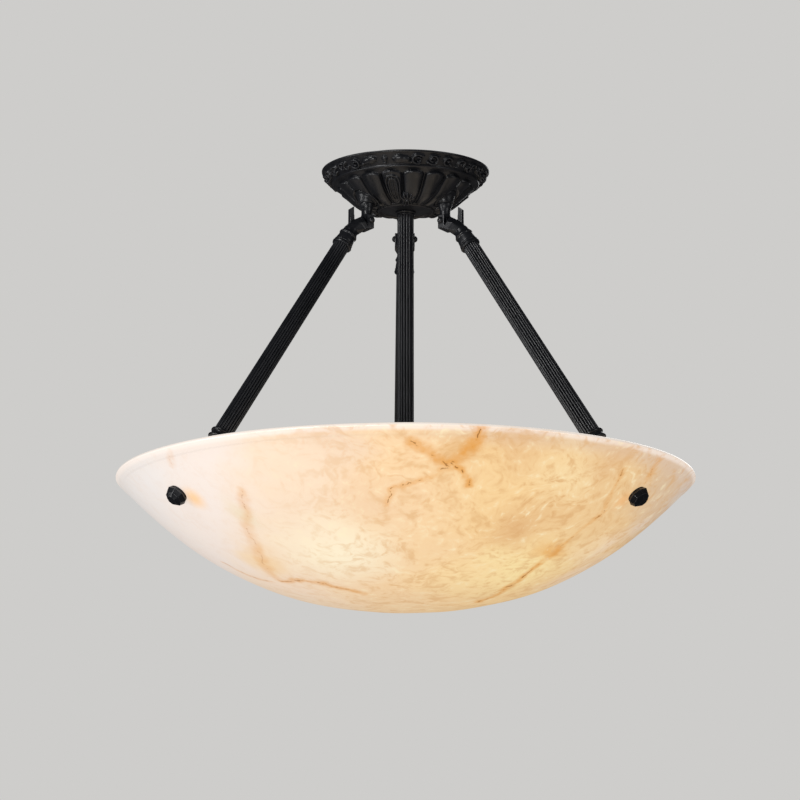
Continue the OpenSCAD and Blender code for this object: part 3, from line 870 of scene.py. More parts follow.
    def _ground(self, pen: Pen, bent: Any, point: Any) -> bpy.types.NodeSocket:
        """Returns the ground colour: white at the left, orange in the middle, grey at the right, which is
        partly the stone's tone and partly painted glow and shade; a painted shade greys it under the rim,
        more towards the right, and a painted highlight lightens the lip.
        """
        across = pen.node("ShaderNodeSeparateXYZ", {0: bent}).outputs[0]
        share = pen.node("ShaderNodeMapRange", {"Value": across, "From Min": -300.0, "From Max": 300.0})
        colour = pen.ramp(share.outputs[0], self.ground)
        up = pen.node("ShaderNodeSeparateXYZ", {0: point}).outputs[2]
        # Painted shade: greyer just under the rim, more so towards the right.
        painted_rim_shade = pen.math("MULTIPLY", pen.fade(up, -352.0, -336.0), pen.fade(across, -40.0, 90.0, 0.1, 0.6))
        colour = pen.blend(painted_rim_shade, colour, self.grey)
        # Painted highlight: a pale band along the top of the rim.
        return pen.blend(pen.fade(up, -337.5, -334.0, 0.0, 0.7), colour, self.lip)

    def _clouds(self, pen: Pen, effects: Effects, colour: Any, bent: Any,
                point: Any) -> bpy.types.NodeSocket:
        """Adds the soft spots of other colours and the warm halos beside the knobs."""
        for cloud in self.clouds:
            mask = effects.place(pen, effects.spot, {
                "Point": bent, "Centre": self.wall.spot(cloud.turn, cloud.radius),
                "Reach": cloud.reach, "Strength": cloud.share})
            colour = pen.blend(mask, colour, cloud.colour)
        for halo in self.halos:
            mask = effects.place(pen, effects.spot, {
                "Point": point, "Centre": self.wall.spot(halo.turn, halo.radius),
                "Reach": halo.reach, "Strength": halo.share})
            colour = pen.blend(mask, colour, halo.colour)
        return colour

    def _crumple(self, pen: Pen, effects: Effects, colour: Any, point: Any,
                 bent: Any) -> bpy.types.NodeSocket:
        """Adds the crumpled look: lumps, streaks and creases, strongest at the upper right."""
        slanted = pen.node("ShaderNodeMapping", {
            "Vector": bent, "Rotation": (0.0, math.radians(32), 0.0), "Scale": (0.75, 1.0, 2.2)}).outputs[0]
        streaks = pen.noise(slanted, 26.0, 3.5, 0.55, 1.2)
        fine = pen.noise(bent, 8.0, 2.5, 0.5, 0.6)
        lumps = self._lumps(pen, point, size=13.0, reach=9.0)
        small = self._lumps(pen, bent, size=7.5, reach=5.0)
        zone = effects.place(pen, effects.spot, {
            "Point": bent, "Centre": self.wall.spot(34.0, 250.0), "Reach": 160.0, "Strength": 1.1})
        across = pen.node("ShaderNodeSeparateXYZ", {0: bent}).outputs[0]
        everywhere = pen.fade(across, -180.0, 10.0, 0.10, 0.72)
        share = pen.math("MAXIMUM", zone, everywhere)
        rough = pen.math("MULTIPLY_ADD", small, 0.22, pen.math("MULTIPLY_ADD", streaks, 1.35, fine))
        tone = pen.math("MULTIPLY_ADD", lumps, 0.5, rough)
        dark = pen.fade(tone, self.tone, self.tone + 0.5, 0.0, 0.72)
        dark = pen.math("MULTIPLY", dark, share)
        light = pen.math("MULTIPLY", pen.fade(tone, self.tone, self.tone - 0.55, 0.0, 0.85), share)
        colour = pen.blend(dark, colour, self.tan)
        return pen.blend(light, colour, self.bright)

    def _lumps(self, pen: Pen, point: Any, size: float, reach: float) -> bpy.types.NodeSocket:
        """Returns smooth lumps of a size: 0 in their middles, more towards their edges."""
        spot = pen.vector("ADD", point, self._drift(pen, point, size * 0.8, reach))
        return pen.node("ShaderNodeTexVoronoi", {
            "Vector": spot, "Scale": 1 / size, "Smoothness": 0.5}, feature="SMOOTH_F1").outputs["Distance"]

    def _veins(self, pen: Pen, effects: Effects, colour: Any, shaken: Any,
               point: Any) -> bpy.types.NodeSocket:
        """Adds each vein's stain and its broken dark core."""
        stained: Any = 0.0
        cored: Any = 0.0
        breaks = pen.fade(pen.noise(point, 7.0, 3.0), 0.3, 0.5, 0.4, 1.0)
        spread = pen.fade(pen.noise(point, 16.0, 3.0), 0.25, 0.6, 0.5, 1.0)
        for vein in self.veins:
            nearest: Any = FAR
            spots = [self.wall.spot(turn, radius) for turn, radius in vein.way]
            for start, end in zip(spots, spots[1:]):
                nearest = effects.place(pen, effects.vein, {
                    "Point": shaken, "Start": start, "Run": end - start, "Nearest": nearest})
            stain = pen.fade(nearest, vein.stain, 0.0, 0.0, vein.stain_share)
            core = pen.fade(nearest, vein.core * 1.7, vein.core * 0.3, 0.0, vein.core_share)
            stained = pen.math("MAXIMUM", stain, stained)
            cored = pen.math("MAXIMUM", core, cored)
        colour = pen.blend(pen.math("MULTIPLY", stained, spread), colour, self.stain)
        return pen.blend(pen.math("MULTIPLY", cored, breaks), colour, self.core)


FINISHES: tuple[Any, ...] = (
    # On the black, the lighter edge colour is partly a painted highlight along ridges, and its reflections
    # get a painted shade in grooves.
    PlainFinish(
        Slot.BLACK, (0.006, 0.0065, 0.008, 1), (0.0085, 0.009, 0.011, 1), (0.042, 0.043, 0.047, 1),
        rough=0.29, patch_rough=0.36, grain_fine=0.5, grain_height=0.03, specular=0.34, groove_shade_reach=5.0),
    PlainFinish(
        Slot.STEEL, (0.62, 0.62, 0.6, 1), (0.5, 0.5, 0.48, 1), (0.78, 0.78, 0.76, 1),
        rough=0.3, patch_rough=0.42, grain_fine=2.4, grain_height=0.03, metallic=1.0),
    PlainFinish(
        Slot.RUBBER, (0.02, 0.02, 0.02, 1), (0.03, 0.03, 0.03, 1), (0.05, 0.05, 0.05, 1),
        rough=0.75, patch_rough=0.85, grain_fine=1.8, grain_height=0.05, specular=0.3),
    PlainFinish(
        Slot.NYLON, (0.72, 0.71, 0.66, 1), (0.66, 0.65, 0.6, 1), (0.8, 0.79, 0.75, 1),
        rough=0.5, patch_rough=0.6, grain_fine=2.0, grain_height=0.03),
    PlainFinish(
        Slot.CERAMIC, (0.8, 0.78, 0.72, 1), (0.76, 0.74, 0.67, 1), (0.86, 0.84, 0.8, 1),
        rough=0.16, patch_rough=0.24, grain_fine=0.8, grain_height=0.03),
    AlabasterFinish(),
    GlobeFinish(),
)


class Dresser:
    """Gives finished pieces their material, their body and their place, and hides the imported nodes that
    they stand for.
    """

    def __init__(self) -> None:
        """Builds every finish once."""
        effects = Effects()
        self.materials = {finish.slot: finish.build(effects) for finish in FINISHES}

    def piece(self, obj: bpy.types.Object, frame_matrix: Matrix, slot: Slot, body: str,
              *nodes: str) -> bpy.types.Object:
        """Places a piece made in millimetres and hands it to its body.

        Args:
            obj: the piece, in the millimetres of its own frame.
            frame_matrix: that frame, in metres.
            slot: the piece's material slot.
            body: the body that it rides on.
            nodes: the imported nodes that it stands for.

        Returns:
            The piece.
        """
        obj.data.transform(frame_matrix @ Matrix.Scale(MM, 4))
        obj.data.materials.clear()
        obj.data.materials.append(self.materials[slot])
        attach(obj, body)
        if nodes:
            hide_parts(*nodes)
        LOG.info("%s: %d faces on %s", obj.name, len(obj.data.polygons), body)
        return obj

    def node(self, name: str, slot: Slot) -> None:
        """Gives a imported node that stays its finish."""
        mesh = frame["nodes"][name].data
        mesh.materials.clear()
        mesh.materials.append(self.materials[slot])
        LOG.info("%s: kept, finished in %s", name, slot.value)


# Frames of the joints


def joint(name: str) -> dict[str, Any]:
    """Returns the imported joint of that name."""
    return next(j for j in frame["joints"] if j["name"] == name)


def axes(x: Vector, y: Vector, z: Vector, origin: Vector) -> Matrix:
    """Returns the frame with these axes and this origin, in metres."""
    matrix = Matrix((x, y, z)).transposed().to_4x4()
    matrix.translation = origin
    return matrix


@dataclass(frozen=True)
class RodStation:
    """Where one rod hangs: its pivot, its outward direction and its fixing on the wall."""

    number: int
    bend_depth: float = 35.6
    line_offset: float = 9.4

    @property
    def pivot(self) -> Vector:
        """The rod's pivot in metres."""
        return Vector(joint(f"rod_{self.number}_swing")["pos_m"])

    @property
    def across(self) -> Vector:
        """The level direction along the pivot's pin."""
        axis = Vector(joint(f"rod_{self.number}_swing")["axis"])
        return axis if axis.cross(Vector((0, 0, 1))).dot(self.pivot) > 0 else -axis

    @property
    def outward(self) -> Vector:
        """The level direction away from the stem."""
        return self.across.cross(Vector((0, 0, 1)))

    @property
    def wall_out(self) -> Vector:
        """The direction square out of the bowl's wall at the stud."""
        return Vector(joint(f"knob_{self.number}_turn")["axis"])

    @property
    def stud(self) -> Vector:
        """The stud's point on the bowl's outer wall, in metres."""
        return Vector(joint(f"knob_{self.number}_turn")["pos_m"])

    @property
    def bend(self) -> Vector:
        """The foot's bend, in metres from the pivot: outward, and down."""
        way = self.stud - self.wall_out * self.bend_depth * MM - self.pivot
        return Vector((way.dot(self.outward), -way.z))

    @property
    def tilt(self) -> float:
        """The rod's lean from the upright, in radians."""
        bend = self.bend
        return math.atan2(bend.x, bend.y) - math.asin(self.line_offset * MM / bend.length)

    @property
    def bend_run(self) -> float:
        """How far down the rod's line the bend lies, from the pivot."""
        bend = self.bend
        return (bend.x * math.sin(self.tilt) + bend.y * math.cos(self.tilt)) / MM

    def upright(self) -> Matrix:
        """Returns the frame at the pivot with X outward and Z up."""
        return axes(self.outward, self.across, Vector((0, 0, 1)), self.pivot)

    def line(self) -> Matrix:
        """Returns the frame at the pivot whose -Z runs down the rod."""
        return self.upright() @ Matrix.Rotation(-self.tilt, 4, "Y")

    def wall(self) -> Matrix:
        """Returns the frame on the outer wall at the stud, with Z out of the bowl."""
        return axes(self.across.cross(self.wall_out), self.across, self.wall_out, self.stud)

    @property
    def body(self) -> str:
        """The body that the rod belongs to."""
        return f"rod_{self.number}"


# Sub-assemblies


@dataclass
class Studio:
    """The camera, the lamps and the pale floor."""

    camera_at: tuple[float, float, float] = (-0.0550, -3.4996, -0.9696)
    camera_pitch: float = 101.68
    camera_turn: float = -0.805
    lens: float = 154.2
    floor_z: float = -1.25
    floor_size: float = 60.0
    backdrop: tuple[float, float, float, float] = srgb(206, 205, 203)
    ambient: tuple[float, float, float, float] = (0.22, 0.22, 0.225, 1.0)
    mirrored: tuple[float, float, float, float] = (0.05, 0.05, 0.053, 1.0)

    def build(self) -> None:
        """Builds the whole studio."""
        self._camera()
        self._lamps()
        self._world()
        self._floor()
        bpy.context.scene.view_settings.view_transform = "Standard"

    def _camera(self) -> None:
        """Sets up the camera at the photograph's angle."""
        data = bpy.data.cameras.new("camera")
        data.lens = self.lens
        data.sensor_width = 36.0
        camera = bpy.data.objects.new("camera", data)
        camera.location = self.camera_at
        camera.rotation_euler = (math.radians(self.camera_pitch), 0.0, math.radians(self.camera_turn))
        bpy.context.scene.collection.objects.link(camera)
        bpy.context.scene.camera = camera

    def _lamps(self) -> None:
        """Adds the soft studio lamps: name, place, aim, size and power."""
        rows = (("key", (-1.7, -2.0, 0.9), (0, 0, -0.2), 0.7, 38.0),
                ("fill", (2.1, -1.6, -0.1), (0, 0, -0.25), 0.9, 10.0),
                ("side", (-2.4, -0.7, -0.55), (0, 0, -0.25), 0.7, 16.0),
                ("rim", (0.9, 2.2, 0.7), (0, 0, -0.15), 1.2, 7.0),
                ("low", (-0.7, -1.9, -1.15), (0, 0, -0.1), 0.6, 18.0))
        for name, place, aim, size, power in rows:
            data = bpy.data.lights.new(name, "AREA")
            data.size = size
            data.energy = power
            lamp = bpy.data.objects.new(name, data)
            lamp.location = place
            way = Vector(aim) - Vector(place)
            lamp.rotation_euler = way.to_track_quat("-Z", "Y").to_euler()
            bpy.context.scene.collection.objects.link(lamp)

    def _world(self) -> None:
        """Lights the scene evenly and shows a pale backdrop to the camera and to reflections."""
        world = bpy.data.worlds.new("studio")
        bpy.context.scene.world = world
        world.use_nodes = True
        world.node_tree.nodes.clear()
        pen = Pen(world.node_tree)
        path = pen.node("ShaderNodeLightPath").outputs
        seen = pen.math("MAXIMUM", path["Is Camera Ray"], path["Is Transmission Ray"])
        unseen = pen.blend(path["Is Glossy Ray"], self.ambient, self.mirrored)
        colour = pen.blend(seen, unseen, self.backdrop)
        background = pen.node("ShaderNodeBackground", {"Color": colour, "Strength": 1.0})
        output = pen.node("ShaderNodeOutputWorld")
        pen.feed(output.inputs["Surface"], background.outputs[0])

    def _floor(self) -> None:
        """Lays the pale floor, which only the camera sees, and only from above."""
        half = self.floor_size / 2
        corners = [(-half, -half, self.floor_z), (half, -half, self.floor_z),
                   (half, half, self.floor_z), (-half, half, self.floor_z)]
        mesh = bpy.data.meshes.new("floor")
        mesh.from_pydata(corners, [], [(0, 1, 2, 3)])
        floor = bpy.data.objects.new("floor", mesh)
        bpy.context.scene.collection.objects.link(floor)
        material, pen, shader = start_material("floor")
        material.node_tree.nodes.remove(shader)
        tint = pen.noise(pen.point(), 900.0, 2.0)
        pale = pen.node("ShaderNodeEmission", {
            "Color": pen.blend(tint, srgb(203, 202, 200), srgb(209, 208, 206)), "Strength": 1.0})
        clear = pen.node("ShaderNodeBsdfTransparent")
        back = pen.node("ShaderNodeNewGeometry").outputs["Backfacing"]
        unseen = pen.math("SUBTRACT", 1.0, pen.node("ShaderNodeLightPath").outputs["Is Camera Ray"])
        hidden = pen.math("MAXIMUM", back, unseen)
        either = pen.node("ShaderNodeMixShader", {0: hidden, 1: pale.outputs[0], 2: clear.outputs[0]})
        output = next(n for n in material.node_tree.nodes if n.type == "OUTPUT_MATERIAL")
        pen.feed(output.inputs["Surface"], either.outputs[0])
        mesh.materials.append(material)


@dataclass
class Bowl:
    """The stone bowl: a thin wall, a rounded rim with a faint lip, and three stud holes."""

    curve: Wall = field(default_factory=Wall)
    wall: float = 10.0
    rim_round: float = 3.5
    lip: float = 8.0
    lip_step: float = 0.5
    hole_r: float = 6.5
    columns: int = 288

    def build(self, dresser: Dresser, stations: Sequence[RodStation]) -> None:
        """Makes the bowl.

        Args:
            dresser: finishes the piece.
            stations: where the studs pass through the wall.
        """
        outline = self._outline()
        angle = np.arange(self.columns) * 2 * np.pi / self.columns
        radius, height = outline[:, :1], outline[:, 1:]
        sway = 0.3 * np.sin(3 * angle + radius / 37.0) * np.sin(5 * angle - radius / 23.0)
        sway = sway * np.clip(radius / 60.0, 0.0, 1.0)
        rings = np.stack([radius * np.cos(angle), radius * np.sin(angle), height + sway], axis=-1)
        obj = ring_object("alabaster_bowl", rings, sharp=60.0)
        cutters = []
        for station in stations:
            cutter = turned("stud_hole", ((0, -20), (self.hole_r, -20), (self.hole_r, 8), (0, 8)),
                            soft=0.0, columns=48)
            to_mm = Matrix.Scale(1 / MM, 4) @ station.wall() @ Matrix.Scale(MM, 4)
            cutter.data.transform(to_mm)
            cutters.append(cutter)
        cut(obj, *cutters, sharp=60.0)
        dresser.piece(obj, Matrix.Identity(4), Slot.STONE, Body.BOWL.value, "bowl")

    def _outline(self) -> np.ndarray:
        """Returns the outline from the outer middle over the rim to the inner middle."""
        edge = self.curve.rim_r
        radius = np.concatenate([np.linspace(POLE_R, edge - 14, 84), np.linspace(edge - 13.4, edge, 24)])
        step = np.clip((radius - (edge - self.lip)) / 1.6, 0.0, 1.0)
        sink = self.lip_step * (step * step * (3 - 2 * step) - 1) * np.clip(radius / 200.0, 0.0, 1.0)
        slope = self.curve.slope(radius)
        outer = np.stack([radius + sink * np.sin(slope), self.curve.height(radius) - sink * np.cos(slope)], 1)
        over = np.radians(np.arange(15, 91, 15))
        rim = np.stack([edge - self.rim_round * (1 - np.cos(over)),
                        self.curve.rim_z + self.rim_round * np.sin(over)], 1)
        inner = np.stack([radius - self.wall * np.sin(slope),
                          self.curve.height(radius) + self.wall * np.cos(slope)], 1)
        top = self.curve.rim_z + self.rim_round
        inner = inner[(inner[:, 1] < top - 2.5) & (inner[:, 0] > POLE_R)][::-1]
        corner = np.array([[inner[0, 0] + 1.6, top - 1.2], [inner[0, 0] + 3.0, top - 0.2]])
        middle = np.array([[POLE_R, inner[-1, 1]]])
        return np.concatenate([outer, rim, corner, inner, middle])


@dataclass(frozen=True)
class Curl:
    """A raised line bent round a centre, as part of an ornament."""

    x: float
    y: float
    radius: float
    start: float
    sweep: float
    width: float = 1.1
    height: float = 1.5

    def lift(self, x: np.ndarray, y: np.ndarray) -> np.ndarray:
        """Returns how far the line lifts the surface at each place."""
        dx, dy = x - self.x, y - self.y
        turn = (np.degrees(np.arctan2(dy, dx)) - self.start) % 360
        off_line = np.abs(np.hypot(dx, dy) - self.radius)
        ends = []
        for angle in (self.start, self.start + self.sweep):
            end_x = self.radius * math.cos(math.radians(angle))
            end_y = self.radius * math.sin(math.radians(angle))
            ends.append(np.hypot(dx - end_x, dy - end_y))
        distance = np.where(turn <= self.sweep, off_line, np.minimum(*ends))
        return self.height * np.sqrt(np.clip(1 - (distance / self.width) ** 2, 0, 1))


@dataclass(frozen=True)
class Boss:
    """A raised oval, as part of an ornament."""

    x: float
    y: float
    half_w: float
    half_h: float
    height: float = 2.2
    lean: float = 0.0

    def lift(self, x: np.ndarray, y: np.ndarray) -> np.ndarray:
        """Returns how far the oval lifts the surface at each place."""
        c, s = math.cos(math.radians(self.lean)), math.sin(math.radians(self.lean))
        dx, dy = x - self.x, y - self.y
        across, up = (dx * c + dy * s) / self.half_w, (dy * c - dx * s) / self.half_h
        return self.height * np.sqrt(np.clip(1 - across ** 2 - up ** 2, 0, 1))


def raised(ornament: Sequence[Curl | Boss], x: np.ndarray, y: np.ndarray) -> np.ndarray:
    """Returns how far an ornament lifts the surface at each place."""
    return np.maximum.reduce([part.lift(x, y) for part in ornament])


def ridge(distance: np.ndarray, width: float, height: float) -> np.ndarray:
    """Returns the lift of a rounded ridge at a distance from its middle."""
    return height * np.sqrt(np.clip(1 - (distance / width) ** 2, 0, 1))


def from_nearest(turn: np.ndarray) -> np.ndarray:
    """Returns the turn in degrees from the nearest of three places a third of a turn apart."""
    return (turn + THIRD / 2) % THIRD - THIRD / 2


def ease(value: np.ndarray, start: float, end: float) -> np.ndarray:
    """Runs smoothly from 0 to 1 as value goes from start to end."""
    share = np.clip((value - start) / (end - start), 0, 1)
    return share * share * (3 - 2 * share)


@dataclass
class Canopy:
    """The cast canopy: a thin lip, a band of scrolls, a bead, a lobed bell and a smooth dish."""

    lobes: int = 18
    groove_turn: float = -3.6
    unit_turn: float = -4.3
    unit_step: float = 12.0
    leaf_lobe: int = 5
    rosette_turn: float = 1.6
    rosette_r: float = 40.5
    foot_r: float = 28.0
    foot_blend: float = 9.0
    collar_r: float = 9.4
    seat_r: float = 8.0
    seat_drop: float = 41.0
    lug_r: float = 47.5
    bead_r: float = 1.7
    columns: int = 780
    outline: tuple[tuple[float, float], ...] = (
        (88.5, 0), (88.5, -1.4), (87.2, -2.6), (86, -3.2), (77.6, -12), (74.2, -15), (72.4, -15.5),
        (70.6, -16.6), (67.6, -19.2), (64, -22.4), (60.2, -26.2), (56, -30.2), (51.5, -34),
        (46, -36.9), (40, -39.2), (30, -41.9), (20, -43.2), (12, -43.9), (6, -44))
    inside: tuple[tuple[float, float], ...] = (
        (6, -41.5), (20, -40.8), (30, -39.4), (40, -36.6), (46, -33.9), (51, -30.5), (57, -25.2),
        (62.5, -19.5), (67, -14.5), (74, -10.5), (83.5, -2), (86, 0))
    # The corners of the outline between which the band, the bead and the bell lie.
    band: tuple[int, int] = (3, 4)
    bead: tuple[int, int] = (4, 5)
    bell: tuple[int, int] = (7, 15)
    motifs: tuple[tuple[Curl | Boss, ...], ...] = (
        (Boss(-1.4, 0, 7.6, 4.9, 3.3), Boss(4.2, -0.4, 5.8, 4.0, 3.0)),
        (Curl(0.4, 0, 5.1, 50, 255, 1.25, 3.1), Curl(1.4, -0.4, 2.4, 250, 230, 1.0, 3.0),
         Boss(5.4, 3.4, 1.9, 1.4, 2.7, 30), Boss(-6.2, -3.4, 1.4, 1.2, 2.4)),
        (Curl(-0.3, 0, 4.9, -125, 250, 1.25, 3.1), Curl(-1.2, 0.4, 2.3, 60, 230, 1.0, 3.0),
         Boss(-5.2, -3.4, 1.9, 1.4, 2.7, 30), Boss(5.6, 3.6, 1.4, 1.1, 2.4)),
        (Curl(-0.8, 0.6, 4.3, 20, 265, 1.2, 3.1), Boss(-0.6, 0.8, 1.7, 1.7, 3.1),
         Boss(4.2, -3.2, 2.6, 1.2, 2.7, -28)),
        (Curl(-0.4, 0.9, 4.0, -30, 250, 1.2, 3.0), Boss(-0.6, 0.6, 1.6, 1.6, 3.0),
         Boss(-4.6, -3.4, 2.4, 1.2, 2.7, 30)),
        (Curl(1.6, 0.8, 3.6, 20, 250, 1.1, 2.9), Curl(-3.4, -1.8, 3.2, 90, 240, 1.0, 2.7),
         Boss(1.6, 0.8, 1.3, 1.3, 2.9), Boss(-5.0, 3.4, 2.0, 1.2, 2.5, 25)),
        (Curl(-1.8, 0.9, 3.6, 40, 250, 1.1, 2.9), Curl(4.2, -0.8, 3.0, 100, 250, 1.0, 2.7),
         Boss(-1.8, 0.9, 1.3, 1.3, 2.9), Boss(4.4, 3.8, 2.0, 1.1, 2.5, -20)),
        (Curl(-0.2, 0, 4.9, -150, 255, 1.25, 3.1), Curl(0.8, 0.2, 2.2, 40, 230, 1.0, 2.8)),
        (Boss(0.6, 0.5, 9.0, 4.6, 3.3, 8), Boss(-7.2, -2.0, 3.2, 2.0, 2.8, 22)),
        (Boss(0.4, 0.6, 2.9, 3.9, 2.8), Boss(0.2, -3.6, 1.8, 1.6, 2.5)),
    )
    rosette: tuple[Curl | Boss, ...] = (
        Boss(0, 0, 7.0, 12.5, 3.2), Boss(0, 7.2, 1.5, 5.2, 4.8), Boss(-2.9, 6.2, 1.4, 4.8, 4.5, 24),
        Boss(2.9, 6.2, 1.4, 4.8, 4.5, -24), Boss(-5.0, 3.4, 1.2, 3.8, 4.1, 48),
        Boss(5.0, 3.4, 1.2, 3.8, 4.1, -48), Boss(0, 0.6, 3.4, 1.5, 4.9),
        Boss(-4.2, -4.6, 1.2, 5.4, 4.2, -8), Boss(-1.5, -5.6, 1.1, 6.2, 4.6, -3),
        Boss(1.5, -5.6, 1.1, 6.2, 4.6, 3), Boss(4.2, -4.6, 1.2, 5.4, 4.2, 8))

    def build(self, dresser: Dresser, stations: Sequence[RodStation]) -> None:
        """Makes the canopy.

        Args:
            dresser: finishes the piece.
            stations: where the lugs leave the canopy.
        """
        along, curve, normal, marks = self._rows()
        turn = np.arange(self.columns) * 360.0 / self.columns - 180.0
        angle = np.radians(turn)
        radius = curve[:, :1]
        out = np.stack([radius * np.sin(angle), -radius * np.cos(angle)], axis=-1)
        foot, lug = self._foot_distance(out, stations)
        bell = self._bell(along, turn, radius, marks, foot)
        raises = np.maximum.reduce([self._band(along, turn, radius, marks), self._foot(foot, lug),
                                    self._rosettes(along, turn, radius, marks)])
        lift = np.where(raises > 0, np.maximum(raises, bell), bell)
        flat_r = radius + normal[:, :1] * lift
        flat_z = curve[:, 1:] + normal[:, 1:] * lift
        outer = np.stack([flat_r * np.sin(angle), -flat_r * np.cos(angle), flat_z], axis=-1)
        share = 1 - ease(lug, self.seat_r, self.seat_r + 1.4)
        outer[..., 2] += (-self.seat_drop - outer[..., 2]) * share
        inner_curve = soften(self.inside, 2.0)[:, :, None]
        inner = np.stack([inner_curve[:, 0] * np.sin(angle), -inner_curve[:, 0] * np.cos(angle),
                          np.repeat(inner_curve[:, 1], self.columns, axis=1)], axis=-1)
        obj = ring_object("cast_canopy", np.concatenate([outer, inner]), closed=True, sharp=75.0)
        dresser.piece(obj, Matrix.Identity(4), Slot.BLACK, Body.CEILING.value, "canopy")

    def _rows(self) -> tuple[np.ndarray, np.ndarray, np.ndarray, np.ndarray]:
        """Lays the canopy's rows along its outline.

        Returns:
            Each row's way along the outline, its point, its outward normal, and the way at each
            corner of the outline.
        """
        corners = np.array(self.outline)
        smooth = soften(self.outline, 1.1, steps=6)
        way = np.concatenate([[0], np.cumsum(np.linalg.norm(np.diff(smooth, axis=0), axis=1))])
        marks = np.array([way[np.argmin(np.linalg.norm(smooth - c, axis=1))] for c in corners])
        spans = ((0, 3, 0.6), (3, 5, 0.42), (5, 15, 0.6), (15, 16, 1.0), (16, 18, 3.0))
        along = np.concatenate([
            np.arange(marks[a], marks[b] - step * 0.3, step) for a, b, step in spans] + [marks[-1:]])
        curve = np.stack([np.interp(along, way, smooth[:, k]) for k in (0, 1)], axis=1)
        slope = np.gradient(curve, along, axis=0)
        normal = np.stack([-slope[:, 1], slope[:, 0]], axis=1)
        normal /= np.linalg.norm(normal, axis=1)[:, None]
        return along, curve, normal, marks

    def _foot_distance(self, out: np.ndarray,
                       stations: Sequence[RodStation]) -> tuple[np.ndarray, np.ndarray]:
        """Measures how far each place lies from the foot's line and from the nearest lug.

        Args:
            out: the places, seen from above.
            stations: where the lugs leave the canopy.

        Returns:
            The distance to the foot's line, less than 0 on the dish, and to the nearest lug's axis.
        """
        line = np.hypot(out[..., 0], out[..., 1]) - self.foot_r
        nearest = np.full(line.shape, FAR)
        for station in stations:
            spot = station.outward * self.lug_r
            apart = np.hypot(out[..., 0] - spot.x, out[..., 1] - spot.y)
            nearest = np.minimum(nearest, apart)
            round_lug = apart - self.collar_r
            share = np.clip(0.5 + 0.5 * (round_lug - line) / self.foot_blend, 0, 1)
            line = round_lug + (line - round_lug) * share - self.foot_blend * share * (1 - share)
        return line, nearest

    def _band(self, along: np.ndarray, turn: np.ndarray, radius: np.ndarray,
              marks: np.ndarray) -> np.ndarray:
        """Returns the lift of the scroll band and of the bead under it."""
        top, low = marks[self.band[0]], marks[self.band[1]]
        rows = (along > top - 1) & (along < low + 1)
        y = ((top + low) / 2 - along[rows])[:, None]
        lift = np.zeros((len(along), len(turn)))
        for number, motif in enumerate(self.motifs):
            apart = from_nearest(turn - self.unit_turn - number * self.unit_step)
            x = np.radians(apart)[None, :] * radius[rows]
            lift[rows] = np.maximum(lift[rows], raised(motif, x, np.broadcast_to(y, x.shape)))
        inside = ease(along, top - 0.5, top + 0.4) * (1 - ease(along, low - 0.5, low + 0.4))
        bead_at = (marks[self.bead[0]] + marks[self.bead[1]]) / 2
        return np.maximum(lift * inside[:, None], ridge(along - bead_at, self.bead_r, self.bead_r)[:, None])

    def _bell(self, along: np.ndarray, turn: np.ndarray, radius: np.ndarray, marks: np.ndarray,
              foot: np.ndarray) -> np.ndarray:
        """Returns the lift of the bell's lobes, of the fillets between them and of the leaves."""
        step = 360.0 / self.lobes
        place = (turn - self.groove_turn) / step
        pitch = np.radians(step) * radius
        x = np.abs((place % 1.0) - 0.5)[None, :] * pitch
        down = (along - marks[self.bell[0]])[:, None]
        share = np.clip(down / (marks[self.bell[1]] - marks[self.bell[0]]), 0, 1)
        groove = 1.2 + 0.3 * share
        head = 6.0
        roundness = 2.4
        arch = np.clip(head - down, 0, head) / head
        arch = np.clip(1 - arch ** roundness, 0, None) ** (1 / roundness)
        half = np.maximum((pitch / 2 - groove) * arch, 1e-3)
        height = 3.7 - 2.0 * share
        lobe = height * np.clip(1 - (x / half) ** 2.0, 0, 1) ** 0.5
        sunk = ridge(pitch / 2 - x, groove + 0.6, 1.1 - 0.3 * share) * ease(down, 1.0, head)
        fillet = ridge(pitch / 2 - x, 0.45, 1.5 - 0.6 * share) * ease(down, head * 0.3, head * 0.8)
        leaf = self._leaf(x, half, down, lobe)
        leafy = np.floor(place).astype(int) % (self.lobes // 3) == self.leaf_lobe
        lift = np.where(leafy[None, :], leaf, lobe)
        return (np.maximum(lift, fillet) - sunk) * (down >= 0) * ease(foot, 1.2, 3.6)

    def _leaf(self, x: np.ndarray, half: np.ndarray, down: np.ndarray, lobe: np.ndarray) -> np.ndarray:
        """Returns the lift of a leaf laid on a lobe: two nested edges, a midrib and small bumps."""
        outer_rim, inner_rim = 0.9, 0.56
        wide = np.maximum(half - 1.2, 1.0)
        place = np.sqrt((x / wide) ** 2 + np.abs((down - 24.0) / 20.0) ** 4)
        rims = np.maximum(ridge((place - outer_rim) * wide, width=0.9, height=1.5),
                          ridge((place - inner_rim) * wide, width=0.8, height=1.4))
        midrib = ridge(x, width=0.7, height=1.2) * (place < inner_rim)
        bumps = 0.4 * np.sin(2 * np.pi * (down - 0.9 * x) / 3.2) * (place < 0.45)
        return lobe * 0.72 + np.maximum(np.maximum(rims, midrib), bumps)

    def _rosettes(self, along: np.ndarray, turn: np.ndarray, radius: np.ndarray,
                  marks: np.ndarray) -> np.ndarray:
        """Returns the lift of the three leafy bosses on the bell."""
        apart = from_nearest(turn - self.rosette_turn)
        x = np.radians(apart)[None, :] * radius
        corners = np.array(self.outline)[:, 0]
        centre = np.interp(-self.rosette_r, -corners, marks)
        y = np.broadcast_to((centre - along)[:, None], x.shape)
        return raised(self.rosette, x, y)

